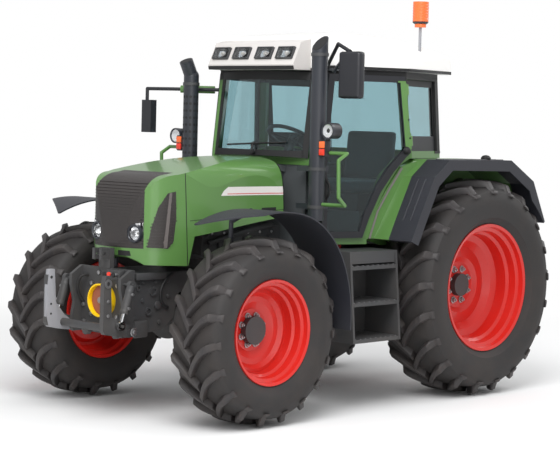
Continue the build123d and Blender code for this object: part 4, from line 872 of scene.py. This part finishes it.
wiper_line = []
for k in range(9):
    across = -0.3 + k * 0.0775
    height = 1.935 + k * 0.004
    place = touch("windscreen", at(WINDSCREEN_FRONT, across, height), (-1, 0, 0))
    if place:
        wiper_line.append((place.x + 0.012, across, height))
pivot = touch("windscreen", at(WINDSCREEN_FRONT, 0.02, 1.885), (-1, 0, 0))
wiper_parts = [
    hose(wiper_line, 0.007),
    rod(pivot, pivot + Vector((0.035, 0, 0)), 0.018, sides=24, bevel=0.003),
    hose([(pivot.x + 0.028, 0.02, 1.885), (pivot.x + 0.034, 0.01, 1.9), wiper_line[4]], 0.006)]
build(wiper_parts, "windscreen_wiper", seal_black)

# %% [markdown]
# The seat's cushion and back are padded. Each is a cube cut into a grid
# whose corners move outward to a crown, with raised side bolsters and a
# sunken seam line, and then smoothed by subdivision.

# %% Seat cushions
CROWN = 0.3


def pad(low, high, axis):
    """A soft closed pad that bulges along one axis."""
    fresh()
    bpy.ops.mesh.primitive_cube_add(size=2)
    piece = bpy.context.object
    edit(piece)
    bpy.ops.mesh.subdivide(number_cuts=9)
    fresh()
    half = [(b - a) / 2 for a, b in zip(low, high)]
    others = [k for k in (0, 1, 2) if k != axis]
    for corner in piece.data.vertices:
        unit = Vector(corner.co)
        u, v = unit[others[0]], unit[others[1]]
        round_off = (1 - abs(u) ** 6) * (1 - abs(v) ** 6)
        bolster = 0.35 * max(0, abs(unit[1]) - 0.55) / 0.45
        seam = -0.1 if 0.5 < abs(unit[1]) < 0.65 else 0
        grow = 0.7 + CROWN * (round_off + bolster + seam)
        placed = [unit[k] * half[k] * (0.93 + 0.07 * (1 - abs(unit[axis]) ** 4)) for k in (0, 1, 2)]
        placed[axis] = unit[axis] * half[axis] * min(1, grow)
        corner.co = placed
    modify(piece, "SUBSURF", levels=1, render_levels=1)
    piece.location = [(a + b) / 2 for a, b in zip(low, high)]
    return settle(piece)


cushion = pad(at(0.172, -0.248, 1.562), at(0.638, 0.248, 1.678), 2)
done(cushion, "seat_cushion_pad", "chassis", seat_cloth, smooth=60)
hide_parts("seat_cushion")
back_foot = 1.682
backrest = pad(at(0.17, -0.238, back_foot), at(0.278, 0.238, 2.062), 0)
for corner in backrest.data.vertices:
    corner.co.x -= 0.1 * (corner.co.z - back_foot)
done(backrest, "seat_back_pad", "chassis", seat_cloth, smooth=60)
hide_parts("seat_back")
cabin_parts = [
    block(at(0.235, -0.325, 1.772), at(0.61, -0.275, 1.8), 0.01),
    block(at(0.2, -0.47, 1.3), at(0.85, -0.34, 1.56), 0.02),
    block(at(1.24, -0.2, 1.795), at(1.42, 0.2, 1.845), 0.02),
    rod(at(0.6, -0.4, 1.56), at(0.63, -0.4, 1.72), 0.012),
    rod(at(0.52, -0.4, 1.56), at(0.54, -0.4, 1.68), 0.01),
    rod(at(0.72, -0.41, 1.56), at(0.76, -0.41, 1.74), 0.014),
    turned([(-0.02, 0), (-0.02, 0.016), (0, 0.022), (0.022, 0.016), (0.026, 0)], at(0.63, -0.4, 1.73),
           (0, 0, 1), 20),
    turned([(-0.02, 0), (-0.02, 0.018), (0, 0.026), (0.026, 0.018), (0.03, 0)], at(0.76, -0.41, 1.75),
           (0, 0, 1), 20),
]
cabin_parts += [block(at(1.1, across, 1.27), at(1.18, across + 0.06, 1.285), 0.004)
                for across in (0.06, -0.12, -0.2)]
build(cabin_parts, "cab_controls", cabin_grey)
headliner = block(at(0.16, -0.6, 2.512), at(1.36, 0.6, 2.528), 0.004)
done(headliner, "cab_headliner", "chassis", cabin_grey)
print("seat and controls", len(cushion.data.polygons))

# %% [markdown]
# Four lamps sit in the roof's front bar. Each has a bright tray, a bulb and
# a clear cover, built lying on its back and then turned to the bar's face. Black strips along the roof's rim
# and the lamp bar's lower edge are painted shade.

# %% Roof lamps
BAR_TILT = -25.2


def faced(piece, place, degrees):
    """Turn a piece built on the origin about Y and move it to its place."""
    piece.rotation_euler = (0, math.radians(degrees), 0)
    piece.location = place
    return settle(piece)


lamp_set = []
for across in (-0.34, -0.12, 0.12, 0.34):
    parts = [
        (block((-0.028, -0.083, -0.048), (-0.022, 0.083, 0.048), 0.002), stack_black),
        (block((-0.022, -0.076, -0.041), (-0.012, 0.076, 0.041), 0.004), reflector),
        (block((-0.012, -0.068, -0.033), (-0.009, 0.068, 0.033), 0.002), mirror_face),
        (turned([(-0.01, 0), (-0.01, 0.016), (0.004, 0.012), (0.008, 0)], (0, 0, 0), (1, 0, 0), 20),
         lamp_bar_grey),
        (block((0.01, -0.08, -0.045), (0.016, 0.08, 0.045), 0.003), lamp_glass),
    ]
    parts += [(block((-0.028, y0, z0), (0.02, y1, z1), 0.002), dull_grey) for y0, z0, y1, z1 in (
        (-0.084, -0.049, -0.077, 0.049), (0.077, -0.049, 0.084, 0.049), (-0.08, 0.042, 0.08, 0.049),
        (-0.08, -0.049, 0.08, -0.042))]
    lamp_set += [paint(faced(piece, at(1.59, across, 2.634), BAR_TILT), look) for piece, look in parts]
build(lamp_set, "roof_lamp_units")
# Black strips of painted shade along the roof's lower rim and the lamp bar's lower edge, where the roof
# overhangs.
roof_parts = [patch("roof", oblong(-0.05, 2.529, 1.52, 2.552), side, 0.001, 0.004) for side in (1, -1)]
roof_parts.append(patch("roof_lamp_bar", oblong(-0.46, 2.505, 0.46, 2.54), 1, 0.001, 0.003, "end", keep=0.1))
build(roof_parts, "roof_edge_seal", seal_black)
print("roof lamps", len(lamp_set))

# %% [markdown]
# The stacks get clamps, a black disc of painted shade in each open end and rows of slots in the heat shield.
# The arms beside them carry a round work lamp and an amber and red signal.

# %% Stacks, work lamps and mirrors
STACK = 1.59
STACK_SIDE = 0.685
stack_parts = []
for side, top in ((1, 2.62), (-1, 2.4)):
    for height in (1.5, 1.78, top):
        stack_parts.append(paint(turned([(-0.012, 0.0605), (-0.012, 0.066), (0.012, 0.066), (0.012, 0.0605)],
                                        at(STACK, side * STACK_SIDE, height), (0, 0, 1), 40), dull_grey))
for k in range(9):
    for turn in range(5):
        angle = math.radians(-20 + turn * 32)
        out = Vector((math.cos(angle), math.sin(angle), 0))
        place = Vector(at(STACK, -STACK_SIDE, 1.86 + k * 0.055)) + out * 0.0585
        stack_parts.append(paint(rod(place, place + out * 0.0025, 0.011, sides=8), seal_black))
mouth_way = Vector((1, 0, 1)).normalized()
# A black disc in the intake's slanted open end is painted shade inside the pipe.
fresh()
bpy.ops.mesh.primitive_circle_add(vertices=40, radius=0.052, fill_type="NGON")
mouth_shade_disc = bpy.context.object
mouth_shade_disc.scale = (1.4, 1, 1)
settle(mouth_shade_disc)
faced(mouth_shade_disc, Vector(at(STACK, STACK_SIDE, 2.7)) + mouth_way * 0.001, 45)
modify(mouth_shade_disc, "SOLIDIFY", thickness=0.002, offset=0)
stack_parts.append(paint(mouth_shade_disc, seal_black))
# A black disc in the exhaust's open tip is painted shade inside the pipe.
tip = Vector(at(1.652, -STACK_SIDE, 2.58))
tip_way = Vector((0.062, 0, 0.12)).normalized()
stack_parts.append(paint(rod(tip - tip_way * 0.001, tip + tip_way * 0.002, 0.046, sides=40), seal_black))
build(stack_parts, "stack_fittings")

signal_parts = []
for side, height in ((1, 2.063), (-1, 1.99)):
    face = at(1.62, side * 0.815, height)
    for profile, steps, look in (
            ([(-0.006, 0.05), (0.01, 0.05), (0.012, 0.06), (-0.02, 0.0605), (-0.02, 0.0582)], 40,
             stack_black),
            ([(0.001, 0), (0.001, 0.03), (0.004, 0.05), (0.0015, 0.05), (0.0005, 0.03)], 32, reflector),
            ([(0.0045, 0.05), (0.012, 0.034), (0.015, 0), (0.012, 0), (0.009, 0.033), (0.003, 0.05)], 40,
             lamp_glass)):
        signal_parts.append(paint(turned(profile, face, (1, 0, 0), steps), look))
    for low, high, bevel, look in (
            ((1.57, 0.735, 1.872), (1.63, 0.8, 1.995), 0.008, black_plastic),
            ((1.629, 0.742, 1.935), (1.64, 0.793, 1.985), 0.004, amber_plastic),
            ((1.629, 0.742, 1.882), (1.64, 0.793, 1.93), 0.004, red_lens)):
        corners = [at(distance, side * across, z) for distance, across, z in (low, high)]
        signal_parts.append(paint(block(*corners, bevel), look))
build(signal_parts, "work_lamp_faces")
mirror_parts = [
    paint(block(at(1.5055, 0.872, 2.322), at(1.5095, 1.038, 2.52), 0.001), mirror_face),
    paint(block(at(1.5055, 0.872, 2.532), at(1.5095, 1.038, 2.622), 0.001), mirror_face),
    paint(block(at(1.6105, -1.16, 2.022), at(1.6145, -1.07, 2.258), 0.001), mirror_face),
    paint(block(at(1.502, 0.852, 2.302), at(1.578, 1.058, 2.643), 0.024, 4), black_plastic),
    paint(block(at(1.5, 0.8515, 2.3015), at(1.504, 1.0585, 2.3035), 0), black_plastic),
    paint(rod(at(1.44, 0.69, 2.5), at(1.53, 0.905, 2.64), 0.012), stack_black),
    paint(rod(at(1.39, -0.62, 2.36), at(1.57, -0.83, 2.36), 0.03, bevel=0.004), green_enamel),
]
build(mirror_parts, "mirror_faces")
BEACON = (0.36, 0.62)
beacon_parts = [
    paint(rod(at(*BEACON, 2.6), at(*BEACON, 2.905), 0.0115), pale_grey),
    paint(turned([(-0.01, 0), (-0.01, 0.02), (0, 0.05), (0.01, 0.0625), (0.018, 0.0625), (0.018, 0)],
                 at(*BEACON, 2.917), (0, 0, 1), 40), black_plastic)]
for k in range(6):
    beacon_parts.append(paint(turned([(-0.003, 0.0618), (0, 0.064), (0.003, 0.0618), (0, 0.06)],
                                     at(*BEACON, 2.955 + k * 0.022), (0, 0, 1), 40), amber_plastic))
build(beacon_parts, "beacon_rings")
print("stacks, lamps, mirrors and beacon placed")

# %% [markdown]
# Fenders carry pressed beads, rear lamps and a domed side lamp. Wheel nuts
# are put where a line along the axle's direction meets each wheel's disc.

# %% Fenders and wheels
ABOVE_FENDER = 2.3
DOWN = (0, 0, -1)
for hand, side in SIDES:
    bead_rows = []
    for across in (0.95, 1.02):
        for start, end in ((0.52, -0.24), (0.9, 0.73), (-0.28, -0.54)):
            line = []
            for k in range(7):
                distance = start + (end - start) * k / 6
                place = touch("fender_extensions", at(distance, side * across, ABOVE_FENDER), DOWN)
                if place:
                    line.append((place.x, place.y, place.z + 0.001))
            if len(line) > 2:
                bead_rows.append(hose(line, 0.005))
    build(bead_rows, f"{hand}_fender_beads", fender_plastic)
    rear_parts = []
    for low, high, look in ((1.5, 1.555, red_lens), (1.56, 1.63, red_lens), (1.635, 1.675, amber_plastic)):
        lens = patch("fender_extensions", oblong(side * 0.9, low, side * 1.06, high), -1, 0.001, 0.018, "end")
        edit(lens)
        bpy.ops.mesh.bisect(plane_co=at(0, 0, 0), plane_no=(1, 0, 0), clear_outer=True)
        rear_parts.append(paint(lens, look))
    build(rear_parts, f"{hand}_rear_lamps")
    dome_place = touch("fender_extensions", at(-0.056, side * 0.99, ABOVE_FENDER), DOWN)
    if dome_place:
        dome = turned([(0, 0), (0, 0.04), (0.018, 0.04), (0.034, 0.026), (0.04, 0)],
                      dome_place, (0, 0, 1), steps=28)
        done(dome, f"{hand}_fender_side_lamp", "chassis", seal_black)

NUT_COUNT = 8
for hand, side in SIDES:
    for end_name, axle, axle_z, ring, size in (("rear", 0, REAR_RADIUS, 0.132, 0.019),
                                               ("front", FRONT_AXLE, FRONT_RADIUS, 0.108, 0.016)):
        nuts = []
        for k in range(NUT_COUNT):
            angle = 2 * math.pi * (k + 0.5) / NUT_COUNT
            start = at(axle + ring * math.cos(angle), side * 1.5, axle_z + ring * math.sin(angle))
            hits = [touch(f"{hand}_{end_name}_{part}", start, (0, -side, 0)) for part in ("hub", "rim")]
            hits = [place for place in hits if place]
            if hits:
                place = max(hits, key=lambda spot: side * spot.y)
                washer_top = place + Vector((0, side * 0.008, 0))
                nuts += [rod(place, washer_top, size * 1.5, sides=24, bevel=0.001),
                         nut(washer_top, (0, side, 0), radius=size, height=0.018),
                         rod(place, place + Vector((0, side * 0.038, 0)), size * 0.45, sides=12, bevel=0.001)]
        build(nuts, f"{hand}_{end_name}_wheel_nuts", zinc, f"{hand}_{end_name}_wheel")
print("wheel nuts placed")

# %% [markdown]
# The steps get raised treads, the tanks their caps and straps, and the rear
# hitch its top link, ball end, couplers and shaft guard.

# %% Steps, tanks and rear hitch
for hand, side in SIDES:
    treads = []
    for number, height in enumerate((0.528, 0.798, 1.068)):
        outer = 0.972 - number * 0.022
        for k in range(9):
            distance = 0.965 + k * 0.058
            treads.append(block(at(distance, side * 0.66, height - 0.001),
                                at(distance + 0.012, side * outer, height + 0.005), 0.001))
    build(treads, f"{hand}_step_treads", zinc)
    tank_parts = [turned([(-0.005, 0), (-0.005, 0.045), (0.02, 0.045), (0.03, 0.036), (0.03, 0)],
                         at(1.4, side * 0.5, 1.12), (0, 0, 1), 32)]
    tank_parts += [block(at(distance, side * 0.612, 0.575), at(distance + 0.03, side * 0.618, 1.1), 0.001)
                   for distance in (0.98, 1.38)]
    build(tank_parts, f"{hand}_tank_cap", black_plastic)

hitch_parts = [
    paint(hose([at(-0.41, 0, 0.98), at(-0.44, 0, 0.985), at(-0.66, 0, 1.06), at(-0.7, 0, 1.07)], 0.02),
          dull_grey),
    paint(rod(at(-0.4, -0.06, 0.98), at(-0.4, 0.06, 0.98), 0.012, bevel=0.002), zinc),
    paint(turned([(-0.02, 0.01), (-0.02, 0.02), (-0.008, 0.032), (0.008, 0.032), (0.02, 0.02), (0.02, 0.01)],
                 at(-0.715, 0, 1.075), (0, 1, 0), 28), zinc),
    paint(turned([(-0.1, 0.06), (-0.1, 0.066), (0, 0.075), (0, 0.068)], at(-0.37, 0, 0.7), (1, 0, 0), 36),
          guard_yellow),
]
for side in (1, -1):
    for height in (1.16, 1.21):
        for across, look in ((0.1, seal_black), (0.15, red_lens), (0.2, seal_black)):
            y = side * across
            neck = rod(at(-0.33, y, height), at(-0.375, y, height + 0.004), 0.014, bevel=0.002)
            cap = rod(at(-0.372, y, height + 0.003), at(-0.384, y, height + 0.004), 0.017, bevel=0.003)
            hitch_parts += [paint(neck, zinc), paint(cap, look)]
build(hitch_parts, "rear_hitch_fittings")

# %% [markdown]
# The studio is a pale floor that fades into a white world, one large soft
# lamp from above on the nose's side, and two weaker ones for the shade and
# the back. The camera stands where the photographer did, worked out from the
# wheels.

# %% Floor, light and camera
fresh()
bpy.ops.mesh.primitive_plane_add(size=60, location=(0, 0, -0.002))
floor = bpy.context.object
floor.name = "studio_floor"
floor_paint = bpy.data.materials.new("studio_floor")
floor_paint.use_nodes = True
floor_tree = floor_paint.node_tree
floor_shader = put(floor_tree.nodes["Principled BSDF"], {"Base Color": (0.86, 0.86, 0.86, 1),
                                                         "Roughness": 0.9})
fade_place = add(floor_tree, "TexCoord")
fade_length = add(floor_tree, "VectorMath", operation="LENGTH")
fade = add(floor_tree, "MapRange", {"From Min": 3, "From Max": 7})
seen = add(floor_tree, "LightPath")
seen_far = add(floor_tree, "Math", operation="MULTIPLY")
white = add(floor_tree, "Emission", {"Color": (1, 1, 1, 1)})
blend_floor = add(floor_tree, "MixShader")
wire(floor_tree,
     (fade_place, "Object", fade_length, 0), (fade_length, "Value", fade, "Value"),
     (fade, "Result", seen_far, 0), (seen, "Is Camera Ray", seen_far, 1),
     (seen_far, "Value", blend_floor, "Fac"),
     (floor_shader, "BSDF", blend_floor, 1), (white, "Emission", blend_floor, 2),
     (blend_floor, "Shader", floor_tree.nodes["Material Output"], "Surface"))
floor.data.materials.append(floor_paint)

world = bpy.context.scene.world or bpy.data.worlds.new("studio")
bpy.context.scene.world = world
world.use_nodes = True
world_tree = world.node_tree
world_tree.nodes.clear()
sky_seen = add(world_tree, "Background", {"Color": (1, 1, 1, 1)})
sky_light = add(world_tree, "Background", {"Color": (0.93, 0.96, 1, 1), "Strength": 0.34})
ray = add(world_tree, "LightPath")
either = add(world_tree, "Math", operation="MAXIMUM")
at_least_half = add(world_tree, "Math", {1: 0.5}, operation="MAXIMUM")
sky_mix = add(world_tree, "MixShader")
sky_out = add(world_tree, "OutputWorld")
wire(world_tree,
     (ray, "Is Camera Ray", either, 0), (ray, "Is Transmission Ray", either, 1),
     (either, "Value", at_least_half, 0), (at_least_half, "Value", sky_mix, "Fac"),
     (sky_light, "Background", sky_mix, 1), (sky_seen, "Background", sky_mix, 2),
     (sky_mix, "Shader", sky_out, "Surface"))

LIT_POINT = Vector((0.2, 0, 1.1))
for lamp_name, lamp_place, lamp_size, lamp_power in (
        ("key_lamp", (5, 3.5, 7), 5, 600), ("fill_lamp", (7, 9, 2.5), 6, 110),
        ("back_lamp", (-7, 2, 6), 5, 260)):
    fresh()
    bpy.ops.object.light_add(type="AREA", location=lamp_place)
    lamp = bpy.context.object
    lamp.name = lamp_name
    lamp.data.size = lamp_size
    lamp.data.energy = lamp_power
    lamp.rotation_euler = (LIT_POINT - Vector(lamp_place)).to_track_quat("-Z", "Y").to_euler()

CAMERA_AZIMUTH = math.radians(43.5415)
CAMERA_RISE = math.radians(3.47)
CAMERA_ROLL = math.radians(1.4791)
CAMERA_DISTANCE = 13.667
CAMERA_TARGET = Vector(at(1.2, 0, 1.2869))
PHOTO_WIDTH = 560
FOCAL_PIXELS = 1746.54
SENSOR_WIDTH = 36
backward = Vector((math.cos(CAMERA_AZIMUTH) * math.cos(CAMERA_RISE),
                   math.sin(CAMERA_AZIMUTH) * math.cos(CAMERA_RISE), math.sin(CAMERA_RISE)))
bpy.ops.object.camera_add(location=CAMERA_TARGET + backward * CAMERA_DISTANCE)
camera = bpy.context.object
camera.name = "photo_camera"
point_along(camera, backward)
camera.rotation_mode = "XYZ"
camera.rotation_euler.rotate_axis("Z", CAMERA_ROLL)
camera.data.sensor_width = SENSOR_WIDTH
camera.data.lens = FOCAL_PIXELS * SENSOR_WIDTH / PHOTO_WIDTH
camera.data.shift_x = -4.5336 / PHOTO_WIDTH
camera.data.shift_y = 0.6479 / PHOTO_WIDTH
camera.data.clip_end = 100
camera.data.dof.use_dof = False
bpy.context.scene.camera = camera
bpy.context.scene.view_settings.view_transform = "Standard"
print("camera", [round(c, 3) for c in camera.location])
